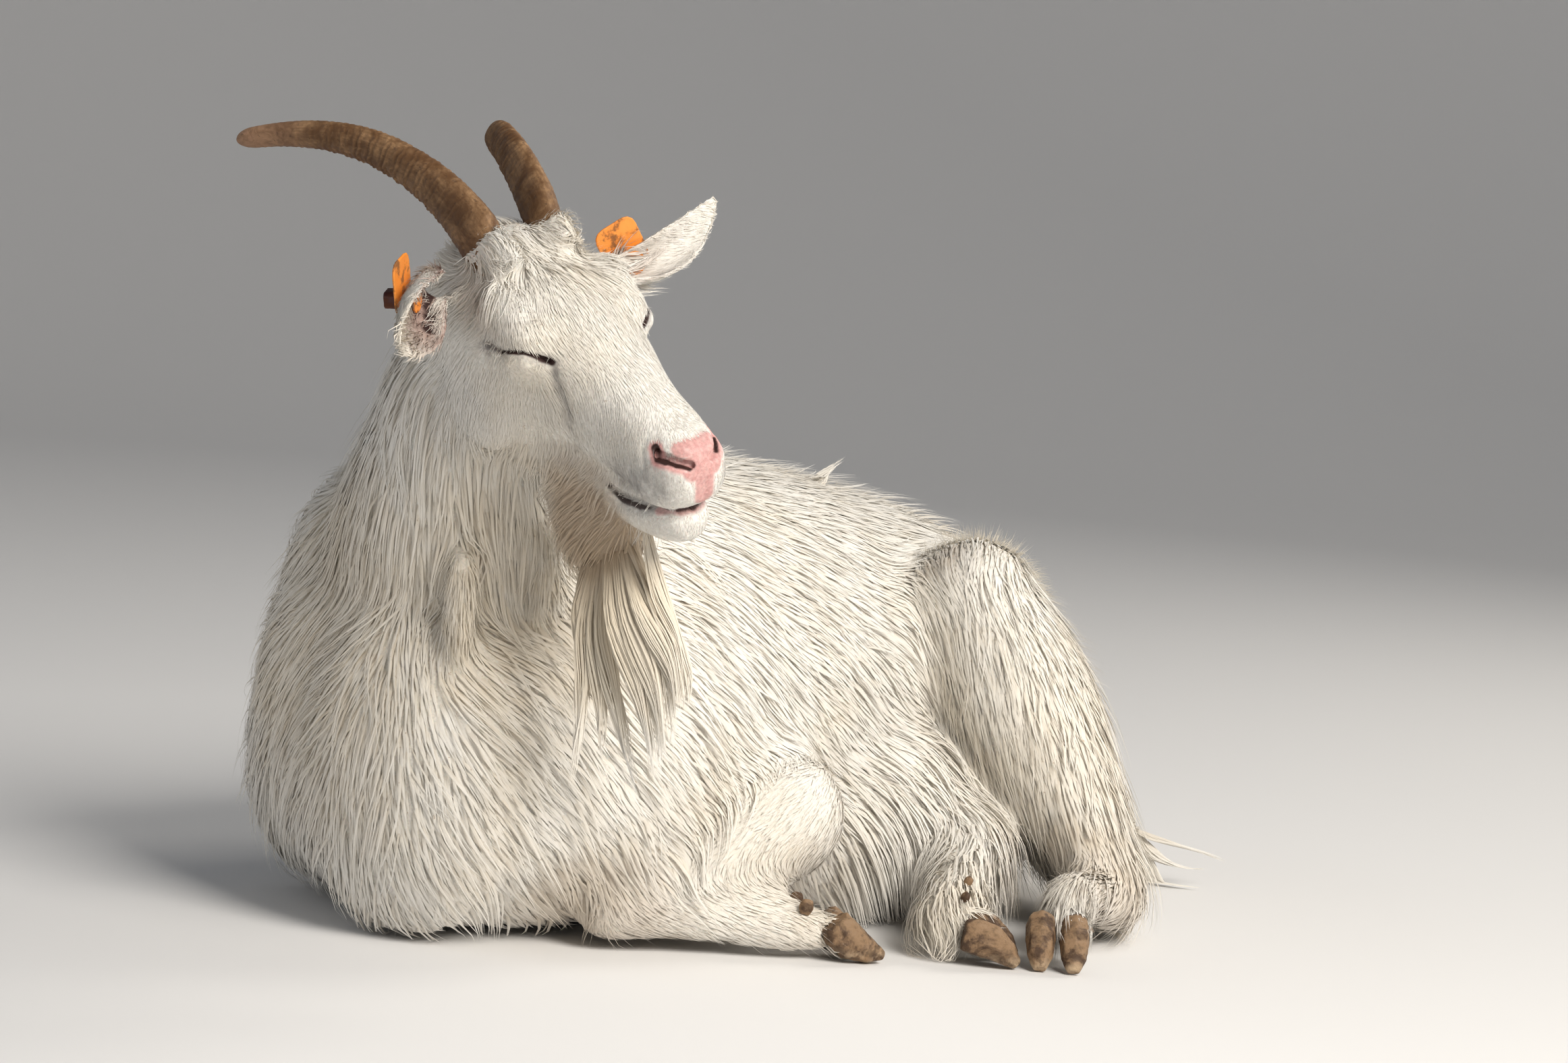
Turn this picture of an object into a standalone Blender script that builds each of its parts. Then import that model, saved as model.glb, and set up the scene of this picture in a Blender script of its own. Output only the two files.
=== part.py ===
"""A life-size white goat lying on its chest, head turned to its left, for a museum display.

Metres, +Z up, the goat's trunk along Y with its head end at -Y and its left side at +X.
Every limb, the neck and the trunk are lofts of egg-shaped sections along a smooth path.
Soft bodies are lofted, fused by a voxel remesh, smoothed and thinned, and then parted from
their neighbours, so that each named part is its own closed solid.
"""

import math

import bmesh
import bpy
from mathutils import Euler, Matrix, Vector
from mathutils.bvhtree import BVHTree

# Driving sizes of the animal
HEAD_LENGTH = 0.272
HORN_BASE_RADIUS = 0.0205
HORN_TIP_RADIUS = 0.0080
EAR_LENGTH = 0.122
EAR_WALL = 0.0045
CLAW_LENGTH = 0.050
CLAW_WIDTH = 0.025
CLAW_HEIGHT = 0.033
DEWCLAW_LENGTH = 0.016
EYELID_RADII = (0.0200, 0.0125, 0.0150)
TAG_FLAP = (0.036, 0.0018, 0.042)
TAG_BUTTON = (0.014, 0.012, 0.013)
TAG_PIN_RADIUS = 0.0022
TAG_DISC_RADIUS = 0.0100
TAG_DISC_THICKNESS = 0.0018

# How the solids are fused and parted
GAP = 0.0004
SIDES = 20
FLOOR = 0.0

# The animal is laid out from the front of its breast; this moves it over the middle of its box
SHIFT = Vector((-0.0721, -0.3146, 0.0))

# Head: where the poll lies, and how far the nose is turned to the left, dropped and rolled
HEAD_PLACE = Vector((0.045, -0.045, 0.508))
HEAD_TURN = math.radians(78)
HEAD_DROP = math.radians(21)
HEAD_ROLL = math.radians(20)

COLLECTION = "goat"
CUTTERS = "cutters"


def clear_scene():
    for obj in list(bpy.data.objects):
        bpy.data.objects.remove(obj)


def new_collection(name):
    collection = bpy.data.collections.new(name)
    bpy.context.scene.collection.children.link(collection)
    return collection


def principled(name, colour, roughness):
    material = bpy.data.materials.new(name)
    material.use_nodes = True
    shader = material.node_tree.nodes["Principled BSDF"]
    shader.inputs["Base Color"].default_value = (*colour, 1.0)
    shader.inputs["Roughness"].default_value = roughness
    shader.inputs["Metallic"].default_value = 0.0
    return material


def spline_value(keys, t):
    """Catmull-Rom through equally numbered keys, t from 0 to len(keys) - 1; keys are tuples of numbers."""
    last = len(keys) - 1
    i = min(int(t), last - 1)
    u = t - i
    p0, p1, p2, p3 = keys[max(i - 1, 0)], keys[i], keys[i + 1], keys[min(i + 2, last)]
    return tuple(
        0.5 * (2 * b + (c - a) * u + (2 * a - 5 * b + 4 * c - d) * u * u + (3 * b - a - 3 * c + d) * u ** 3)
        for a, b, c, d in zip(p0, p1, p2, p3)
    )


def egg_ring(centre, along, top, half_width, above, below, sides=SIDES, square=1.0):
    """A closed section across `along`: half_width to each side, `above` towards `top`, `below` away from it."""
    across = along.cross(top).normalized()
    rise = across.cross(along).normalized()
    points = []
    for k in range(sides):
        angle = 2 * math.pi * k / sides
        c, s = math.cos(angle), math.sin(angle)
        c = math.copysign(abs(c) ** square, c)
        s = math.copysign(abs(s) ** square, s)
        points.append(centre + across * (half_width * c) + rise * ((above if s > 0 else below) * s))
    return points


def loft(sections, top=Vector((0, 0, 1)), steps=3, sides=SIDES, square=1.0):
    """A closed mesh through sections (x, y, z, half width, above, below[, tx, ty, tz]) with rounded ends."""
    bm = bmesh.new()
    count = (len(sections) - 1) * steps
    keys = [spline_value(sections, i / steps) for i in range(count)] + [tuple(sections[-1])]
    centres = [Vector(k[:3]) for k in keys]
    rings = []
    for i, key in enumerate(keys):
        along = (centres[min(i + 1, count)] - centres[max(i - 1, 0)]).normalized()
        upward = Vector(key[6:9]) if len(key) > 6 else top
        half_width, above, below = (max(v, 0.001) for v in key[3:6])
        ring = egg_ring(centres[i], along, upward, half_width, above, below, sides, square)
        rings.append([bm.verts.new(p) for p in ring])
    for a, b in zip(rings, rings[1:]):
        for k in range(sides):
            bm.faces.new((a[k], a[(k + 1) % sides], b[(k + 1) % sides], b[k]))
    bm.faces.new(rings[0][::-1])
    bm.faces.new(rings[-1])
    bmesh.ops.recalc_face_normals(bm, faces=bm.faces)
    mesh = bpy.data.meshes.new("loft")
    bm.to_mesh(mesh)
    bm.free()
    return mesh


def ball(centre, radii, turn=(0, 0, 0), segments=20):
    """An ellipsoid as a mesh; turn is in degrees."""
    bm = bmesh.new()
    bmesh.ops.create_uvsphere(bm, u_segments=segments, v_segments=segments // 2, radius=1.0)
    place = Matrix.Translation(centre) @ Euler([math.radians(a) for a in turn]).to_matrix().to_4x4()
    bmesh.ops.transform(bm, matrix=place @ Matrix.Diagonal((*radii, 1)), verts=bm.verts)
    mesh = bpy.data.meshes.new("ball")
    bm.to_mesh(mesh)
    bm.free()
    return mesh


def joined(meshes, matrix=Matrix.Identity(4)):
    """One mesh with every given mesh in it, moved by matrix."""
    bm = bmesh.new()
    for mesh in meshes:
        bm.from_mesh(mesh)
        bpy.data.meshes.remove(mesh)
    bmesh.ops.transform(bm, matrix=matrix, verts=bm.verts)
    mesh = bpy.data.meshes.new("joined")
    bm.to_mesh(mesh)
    bm.free()
    return mesh


def evaluated_mesh(obj):
    graph = bpy.context.evaluated_depsgraph_get()
    return bpy.data.meshes.new_from_object(obj.evaluated_get(graph))


def add_modifier(obj, kind, **settings):
    modifier = obj.modifiers.new(kind.title(), kind)
    for key, value in settings.items():
        setattr(modifier, key, value)
    return modifier


def applied(obj):
    """obj with its modifiers baked into its mesh."""
    mesh = evaluated_mesh(obj)
    obj.modifiers.clear()
    obj.data = mesh
    return obj


def fused(name, meshes, collection, material, voxel, triangles, smooth=6, matrix=Matrix.Identity(4)):
    """One smooth closed body from overlapping meshes, thinned to about this many triangles."""
    obj = bpy.data.objects.new(name, joined(meshes, matrix))
    collection.objects.link(obj)
    add_modifier(obj, "REMESH", mode="VOXEL", voxel_size=voxel)
    add_modifier(obj, "SMOOTH", factor=0.5, iterations=smooth)
    add_modifier(obj, "TRIANGULATE")
    applied(obj)
    share = min(1.0, triangles / len(obj.data.polygons))
    add_modifier(obj, "DECIMATE", ratio=share)
    applied(obj)
    obj.data.materials.clear()
    obj.data.materials.append(material)
    obj.data.shade_smooth()
    return obj


def stand_on_floor(obj):
    """Cuts off what dips below the floor and closes it with a flat."""
    bm = bmesh.new()
    bm.from_mesh(obj.data)
    geometry = bm.verts[:] + bm.edges[:] + bm.faces[:]
    cut = bmesh.ops.bisect_plane(
        bm, geom=geometry, plane_co=(0, 0, FLOOR), plane_no=(0, 0, 1), clear_inner=True, dist=1e-6
    )
    rim = [e for e in cut["geom_cut"] if isinstance(e, bmesh.types.BMEdge)]
    if rim:
        bmesh.ops.holes_fill(bm, edges=rim, sides=0)
    bmesh.ops.triangulate(bm, faces=bm.faces)
    bm.to_mesh(obj.data)
    bm.free()


def parted(obj, neighbours, cutters, gap=GAP):
    """Takes each neighbour, grown by the gap, out of obj."""
    for other in neighbours:
        cutter = bpy.data.objects.new("cut_" + other.name, other.data.copy())
        cutters.objects.link(cutter)
        cutter.hide_render = True
        cutter.display_type = "WIRE"
        add_modifier(cutter, "DISPLACE", strength=gap, mid_level=0.0)
        add_modifier(obj, "BOOLEAN", operation="DIFFERENCE", object=cutter)
        applied(obj)
        bpy.data.objects.remove(cutter)
    keep_largest(obj)


def on_surface(obj, start, way):
    """Where a line from inside an object comes out of it."""
    shape = BVHTree.FromPolygons([v.co for v in obj.data.vertices], [tuple(p.vertices) for p in obj.data.polygons])
    place = shape.ray_cast(start, Vector(way))[0]
    return place if place else start


def keep_largest(obj):
    """Drops loose scraps that a cut has left."""
    bm = bmesh.new()
    bm.from_mesh(obj.data)
    left, groups = set(bm.verts), []
    while left:
        stack, group = [left.pop()], []
        while stack:
            vertex = stack.pop()
            group.append(vertex)
            for edge in vertex.link_edges:
                other = edge.other_vert(vertex)
                if other in left:
                    left.discard(other)
                    stack.append(other)
        groups.append(group)
    groups.sort(key=len)
    for group in groups[:-1]:
        bmesh.ops.delete(bm, geom=group, context="VERTS")
    bm.to_mesh(obj.data)
    bm.free()


# ---------------------------------------------------------------- trunk and neck

def trunk_meshes():
    """Barrel, shoulders, brisket, belly and haunches."""
    barrel = [
        (-0.020, -0.050, 0.170, 0.060, 0.060, 0.090),
        (-0.026, -0.010, 0.170, 0.150, 0.130, 0.160),
        (-0.034, 0.060, 0.172, 0.196, 0.195, 0.186),
        (-0.040, 0.160, 0.172, 0.212, 0.228, 0.190),
        (-0.038, 0.300, 0.170, 0.212, 0.222, 0.186),
        (-0.028, 0.450, 0.165, 0.205, 0.208, 0.180),
        (-0.008, 0.590, 0.165, 0.180, 0.182, 0.178),
        (0.012, 0.700, 0.160, 0.140, 0.146, 0.168),
        (0.028, 0.780, 0.150, 0.072, 0.085, 0.120),
    ]
    return [
        loft(barrel, sides=28, square=0.93),
        ball((-0.168, 0.095, 0.185), (0.080, 0.110, 0.175), (0, 14, 10)),
        ball((-0.165, 0.110, 0.085), (0.084, 0.110, 0.092)),
        ball((0.098, 0.105, 0.190), (0.075, 0.100, 0.150), (0, -8, -8)),
        ball((-0.012, -0.018, 0.140), (0.112, 0.072, 0.150)),
        ball((-0.052, 0.070, 0.285), (0.130, 0.100, 0.120), (-20, 0, 0)),
        ball((-0.120, 0.075, 0.275), (0.098, 0.095, 0.115), (0, 20, 0)),
        ball((0.118, 0.385, 0.085), (0.085, 0.120, 0.090)),
        ball((-0.100, 0.640, 0.130), (0.110, 0.130, 0.120), (0, 10, 0)),
    ]


def neck_meshes():
    """From deep in the shoulders up to the poll, turning to meet the head from behind."""
    sections = [
        (-0.040, 0.095, 0.240, 0.135, 0.130, 0.140, 0.0, 1.0, 0.4),
        (-0.030, 0.050, 0.320, 0.118, 0.112, 0.118, 0.0, 1.0, 0.4),
        (-0.006, 0.010, 0.395, 0.090, 0.086, 0.096, -0.3, 1.0, 0.4),
        (0.016, -0.016, 0.455, 0.072, 0.068, 0.080, -0.6, 0.7, 0.4),
        (0.030, -0.028, 0.490, 0.056, 0.050, 0.062, -0.8, 0.4, 0.4),
    ]
    return [loft(sections, sides=24)]


# ---------------------------------------------------------------- head

def head_matrix():
    """Head axes in the body frame: local +X to the nose, +Y to the goat's left, +Z to the forehead."""
    level = Matrix.Rotation(HEAD_TURN - math.pi / 2, 4, "Z")
    drop = Matrix.Rotation(HEAD_DROP, 4, "Y")
    roll = Matrix.Rotation(HEAD_ROLL, 4, "X")
    return Matrix.Translation(HEAD_PLACE) @ level @ drop @ roll


def head_section(x, top, bottom, half_width, widest=0.5):
    """A section of the head at x, given its top and bottom heights and where between them it is widest."""
    level = bottom + (top - bottom) * widest
    return (x, 0.0, level, half_width, top - level, level - bottom)


def head_meshes():
    """Skull and muzzle, lower jaw, brows, cheeks and lips, in the head's own axes."""
    skull = [
        head_section(-0.040, 0.035, -0.035, 0.030),
        head_section(-0.020, 0.058, -0.058, 0.052),
        head_section(0.020, 0.080, -0.078, 0.064),
        head_section(0.060, 0.084, -0.080, 0.067),
        head_section(0.100, 0.072, -0.076, 0.062, 0.6),
        head_section(0.135, 0.056, -0.068, 0.051, 0.6),
        head_section(0.170, 0.042, -0.058, 0.041, 0.5),
        head_section(0.205, 0.030, -0.050, 0.036, 0.45),
        head_section(0.240, 0.019, -0.045, 0.034, 0.45),
        head_section(0.262, 0.008, -0.041, 0.028, 0.45),
        head_section(HEAD_LENGTH, -0.004, -0.034, 0.014),
    ]
    jaw = [
        head_section(0.000, -0.010, -0.080, 0.034),
        head_section(0.035, -0.020, -0.108, 0.041),
        head_section(0.080, -0.030, -0.108, 0.038),
        head_section(0.125, -0.040, -0.100, 0.031),
        head_section(0.170, -0.044, -0.096, 0.026),
        head_section(0.205, -0.038, -0.092, 0.026),
        head_section(0.238, -0.036, -0.084, 0.023),
        head_section(0.258, -0.036, -0.072, 0.016),
    ]
    meshes = [loft(skull, sides=24), loft(jaw, sides=16)]
    for side in (-1, 1):
        meshes.append(ball((0.098, side * 0.046, 0.038), (0.046, 0.021, 0.024), (0, 22, side * -8)))
        meshes.append(ball((0.055, side * 0.046, -0.045), (0.048, 0.021, 0.044)))
        meshes.append(ball((0.238, side * 0.018, -0.026), (0.030, 0.018, 0.018)))
    return meshes


def eyelid_mesh(side):
    """The closed lids over one eyeball."""
    return ball((0.114, side * 0.0545, 0.026), EYELID_RADII, (0, -14, side * -12), segments=10)


def bezier(points, t):
    a, b, c, d = points
    return a * (1 - t) ** 3 + b * 3 * (1 - t) ** 2 * t + c * 3 * (1 - t) * t * t + d * t ** 3


def horn_mesh(side, bend):
    """A horn that sweeps back and out along a bend, keeled in front and blunt at its tip."""
    points = [Vector((x, side * y, z)) for x, y, z in bend]
    sections = []
    for i in range(10):
        t = i / 9
        radius = HORN_BASE_RADIUS + (HORN_TIP_RADIUS - HORN_BASE_RADIUS) * t ** 1.25
        if i == 9:
            radius *= 0.55
        keel = 1.20 + 0.60 * max(0.0, 1 - t / 0.45)
        sections.append((*bezier(points, t), radius * 0.74, radius * keel, radius))
    return loft(sections, top=Vector((0.5, 0, 1)), steps=1, sides=12)


def ear_frame(base, length_axis, opening):
    """A frame at the ear's root: +X along the ear, +Z out of its opening."""
    x = Vector(length_axis).normalized()
    y = Vector(opening).cross(x).normalized()
    z = x.cross(y)
    turn = Matrix((x, y, z)).transposed().to_4x4()
    return Matrix.Translation(base) @ turn


def ear_section(t, broad):
    """How far round the ear closes, and its radius, at t from its root to its tip."""
    width = 1.25 * broad * math.sin(math.pi * (0.17 + 0.805 * t)) ** 0.85
    cup = math.radians(270 - 160 * t ** 0.9)
    return cup, width / cup


def ear_mesh(broad, bend, curl, rows=9, columns=7):
    """A cupped leaf, rolled almost into a tube at its root, that opens and bends sideways towards its tip."""
    bm = bmesh.new()
    grid = []
    for i in range(rows):
        t = i / (rows - 1)
        cup, radius = ear_section(t, broad)
        row = []
        for j in range(columns):
            angle = (j / (columns - 1) - 0.5) * cup
            side, depth = radius * math.sin(angle) + bend * t * t, radius * (1 - math.cos(angle)) + curl * t * t
            point = (EAR_LENGTH * t, side, depth)
            row.append(bm.verts.new(point))
        grid.append(row)
    for a, b in zip(grid, grid[1:]):
        for j in range(columns - 1):
            bm.faces.new((a[j], b[j], b[j + 1], a[j + 1]))
    mesh = bpy.data.meshes.new("ear")
    bm.to_mesh(mesh)
    bm.free()
    return mesh


# ---------------------------------------------------------------- limbs

def fore_leg_meshes(knee, fetlock, toe, elbow):
    """A folded fore leg: forearm down to the knee, then the cannon back along the floor."""
    knee, fetlock, toe, elbow = map(Vector, (knee, fetlock, toe, elbow))
    forearm = [
        (*elbow, 0.062, 0.062, 0.060),
        (*elbow.lerp(knee, 0.35), 0.060, 0.060, 0.058),
        (*elbow.lerp(knee, 0.70), 0.047, 0.046, 0.046),
        (*knee, 0.034, 0.034, 0.034),
    ]
    heel = fetlock.lerp(toe, 0.42)
    cannon = [
        (*(knee + (knee - fetlock).normalized() * 0.018), 0.022, 0.022, 0.022),
        (*knee, 0.032, 0.034, 0.030),
        (*knee.lerp(fetlock, 0.35), 0.024, 0.026, 0.024),
        (*knee.lerp(fetlock, 0.70), 0.022, 0.023, 0.023),
        (*fetlock, 0.026, 0.027, 0.025),
        (*heel, 0.024, 0.024, 0.022),
        (*fetlock.lerp(toe, 0.62), 0.020, 0.020, 0.018),
    ]
    return [loft(forearm, sides=18), loft(cannon, sides=16), ball(elbow, (0.062, 0.062, 0.060))]


def hind_leg_meshes(hip, seat, stifle, hock, fetlock, heel, thigh):
    """Haunch from hip and seat bone to the stifle, shank, and the long bone below the hock."""
    hip, seat, stifle, hock, fetlock, heel = map(Vector, (hip, seat, stifle, hock, fetlock, heel))
    upper, middle, lower = thigh
    haunch = [
        (*hip, upper, upper, upper),
        (*hip.lerp(stifle, 0.5), middle, middle, middle),
        (*stifle, lower, lower, lower),
    ]
    hamstring = [
        (*seat, 0.060, 0.060, 0.060),
        (*seat.lerp(hock, 0.35), 0.066, 0.066, 0.066),
        (*seat.lerp(hock, 0.70), 0.052, 0.052, 0.052),
        (*hock, 0.034, 0.034, 0.034),
    ]
    shank = [
        (*stifle, lower * 0.98, lower * 0.98, lower * 0.98),
        (*stifle.lerp(hock, 0.3), lower * 1.17, lower * 1.17, lower * 1.17),
        (*stifle.lerp(hock, 0.6), lower * 1.0, lower * 1.0, lower * 1.0),
        (*stifle.lerp(hock, 0.85), 0.045, 0.045, 0.045),
        (*hock, 0.040, 0.040, 0.040),
    ]
    foot = [
        (*(hock + (hock - fetlock).normalized() * 0.016), 0.030, 0.030, 0.030),
        (*hock, 0.038, 0.038, 0.040),
        (*hock.lerp(fetlock, 0.5), 0.030, 0.030, 0.032),
        (*fetlock, 0.031, 0.031, 0.031),
        (*fetlock.lerp(heel, 0.6), 0.028, 0.028, 0.026),
        (*heel, 0.025, 0.022, 0.022),
    ]
    back = hip.lerp(hock, 0.45)
    return [
        loft(haunch, sides=20), loft(hamstring, sides=18), loft(shank, sides=18), loft(foot, sides=16),
        ball(stifle, (lower,) * 3), ball(stifle.lerp(back, 0.5), (lower * 1.08,) * 3),
        ball((hip + seat + stifle + hock) / 4, (lower * 1.15,) * 3),
    ]


def claw_mesh():
    """One half of a cloven hoof: +X to the toe, +Z up its front wall, sole at the bottom."""
    half = CLAW_WIDTH / 2
    sections = [
        (0.0, 0, CLAW_HEIGHT * 0.42, half * 0.80, CLAW_HEIGHT * 0.38, CLAW_HEIGHT * 0.42),
        (CLAW_LENGTH * 0.14, 0, CLAW_HEIGHT * 0.45, half, CLAW_HEIGHT * 0.48, CLAW_HEIGHT * 0.45),
        (CLAW_LENGTH * 0.45, 0, CLAW_HEIGHT * 0.42, half, CLAW_HEIGHT * 0.50, CLAW_HEIGHT * 0.42),
        (CLAW_LENGTH * 0.78, 0, CLAW_HEIGHT * 0.28, half * 0.86, CLAW_HEIGHT * 0.34, CLAW_HEIGHT * 0.28),
        (CLAW_LENGTH, 0, CLAW_HEIGHT * 0.12, half * 0.42, CLAW_HEIGHT * 0.14, CLAW_HEIGHT * 0.12),
    ]
    return loft(sections, steps=1, sides=8, square=0.8)


def frame_of(place, x_axis, z_axis):
    x = Vector(x_axis).normalized()
    y = Vector(z_axis).cross(x).normalized()
    z = x.cross(y)
    return Matrix.Translation(place) @ Matrix((x, y, z)).transposed().to_4x4()


# Each foot: the midpoint between its claws at the heel, the way to the toes, and up the front wall
FEET = {
    "fore_left": ((0.2410, 0.2239, 0.043), (0.443, 0.568, -0.62), (-0.443, -0.568, -0.72)),
    "fore_right": ((-0.1730, 0.2310, 0.043), (-0.340, 0.630, -0.62), (0.340, -0.630, -0.72)),
    "hind_left": ((0.3560, 0.3760, 0.0215), (0.450, -0.700, -0.42), (0.260, -0.410, 0.86)),
    "hind_right": ((0.3040, 0.3060, 0.0145), (0.640, 0.480, -0.22), (0.250, 0.050, 0.90)),
}

# Where each foot's small dewclaws grow from inside the leg, and the way that they come out
DEWCLAWS = {
    "fore_left": ((0.2150, 0.1980, 0.024), (0.15, 0.15, 0.90)),
    "fore_right": ((-0.1560, 0.2020, 0.026), (-0.50, -0.10, 0.60)),
    "hind_left": ((0.3450, 0.4000, 0.030), (0.60, 0.55, -0.35)),
    "hind_right": ((0.2770, 0.3270, 0.028), (0.55, 0.00, 0.80)),
}

HORN_BENDS = {
    "right": ((0.054, 0.031, 0.054), (-0.020, 0.027, 0.105), (-0.108, 0.036, 0.122), (-0.195, 0.103, 0.077)),
    "left": ((0.050, 0.022, 0.056), (-0.041, 0.043, 0.122), (-0.102, 0.067, 0.080), (-0.151, 0.111, 0.038)),
}

# Each ear in the head's axes: its root, the way that it points and opens, its width, and how far its tip bends
# sideways and towards its opening
EARS = {
    "right": ((0.015, -0.073, 0.047), (0.589, -0.796, 0.136), (0.60, 0.77, 0.12), 0.066, 0.0, 0.022),
    "left": ((0.066, 0.052, 0.038), (0.270, 0.985, -0.205), (0.46, 0.05, 0.80), 0.038, 0.076, -0.012),
}

# Each ear tag: how far along the ear and how far round it its pin goes through, and how far its flap leans
TAGS = {
    "right": (0.037, math.radians(-1), (0.0, -1.0)),
    "left": (0.030, math.radians(48), (-0.45, 1.0)),
}

# Each wattle hangs from here, one on each side of the throat
WATTLES = {"right": (0.043, -0.050, 0.296), "left": (0.072, 0.012, 0.318)}


def make_plain(name, mesh, matrix, collection, material, smooth_angle=40):
    """One object from one closed mesh, placed by matrix."""
    mesh.transform(matrix)
    mesh.name = name
    obj = bpy.data.objects.new(name, mesh)
    collection.objects.link(obj)
    mesh.materials.clear()
    mesh.materials.append(material)
    mesh.shade_smooth()
    mesh.set_sharp_from_angle(angle=math.radians(smooth_angle))
    return obj


def make_ear(side, base, length_axis, opening, broad, bend, curl, head_place, collection, material):
    ear = make_plain("ear_" + side, ear_mesh(broad, bend, curl), Matrix.Identity(4), collection, material, 60)
    add_modifier(ear, "SOLIDIFY", thickness=EAR_WALL, offset=-1.0)
    add_modifier(ear, "TRIANGULATE")
    applied(ear)
    ear.data.transform(head_place @ ear_frame(base, length_axis, opening))
    return ear


def rounded_plate(size, bevel, segments=3):
    """A flat plate with rounded edges."""
    bm = bmesh.new()
    bmesh.ops.create_cube(bm, size=1.0)
    bmesh.ops.transform(bm, matrix=Matrix.Diagonal((*size, 1)), verts=bm.verts)
    upright = [e for e in bm.edges if abs((e.verts[0].co - e.verts[1].co).normalized().y) > 0.9]
    bmesh.ops.bevel(bm, geom=upright, offset=bevel, segments=segments, affect="EDGES", profile=0.5)
    mesh = bpy.data.meshes.new("plate")
    bm.to_mesh(mesh)
    bm.free()
    return mesh


def pin_mesh(start):
    """A tag's pin, from start behind the ear to the disc that holds it on the inside."""
    disc = 0.0036
    stations = (
        (start, TAG_PIN_RADIUS), (disc - 0.0001, TAG_PIN_RADIUS),
        (disc, TAG_DISC_RADIUS), (disc + TAG_DISC_THICKNESS, TAG_DISC_RADIUS),
    )
    return loft([(0, y, 0, radius, radius, radius) for y, radius in stations], steps=1, sides=12)


def make_tag(side, ear_place, collection, flap_material, button_material):
    """An ear tag: a flap behind the ear, a square button on its back, and a pin through both and the ear."""
    along, around, lean = TAGS[side]
    t = along / EAR_LENGTH
    broad, bend, curl = EARS[side][3:]
    cup, radius = ear_section(t, broad)
    inward = Vector((0, -math.sin(around), math.cos(around)))
    across = inward.cross(Vector((*lean, 0))).normalized()
    turn = Matrix((across, inward, across.cross(inward))).transposed().to_4x4()
    place = (along, radius * math.sin(around) + bend * t * t, radius * (1 - math.cos(around)) + curl * t * t)
    frame = ear_place @ Matrix.Translation(place) @ turn
    flap_middle = -(EAR_WALL + 2 * GAP + TAG_FLAP[1] / 2)
    button_middle = flap_middle - TAG_FLAP[1] / 2 - GAP - TAG_BUTTON[1] / 2
    flap = make_plain("tag_flap_" + side, rounded_plate(TAG_FLAP, 0.009),
                      frame @ Matrix.Translation((0, flap_middle, TAG_FLAP[2] * 0.29)), collection, flap_material)
    button = make_plain("tag_button_" + side, rounded_plate(TAG_BUTTON, 0.0020, 1),
                        frame @ Matrix.Translation((0, button_middle, 0)), collection, button_material)
    pin = make_plain("tag_pin_" + side, pin_mesh(button_middle), frame, collection, flap_material)
    return flap, button, pin


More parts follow.
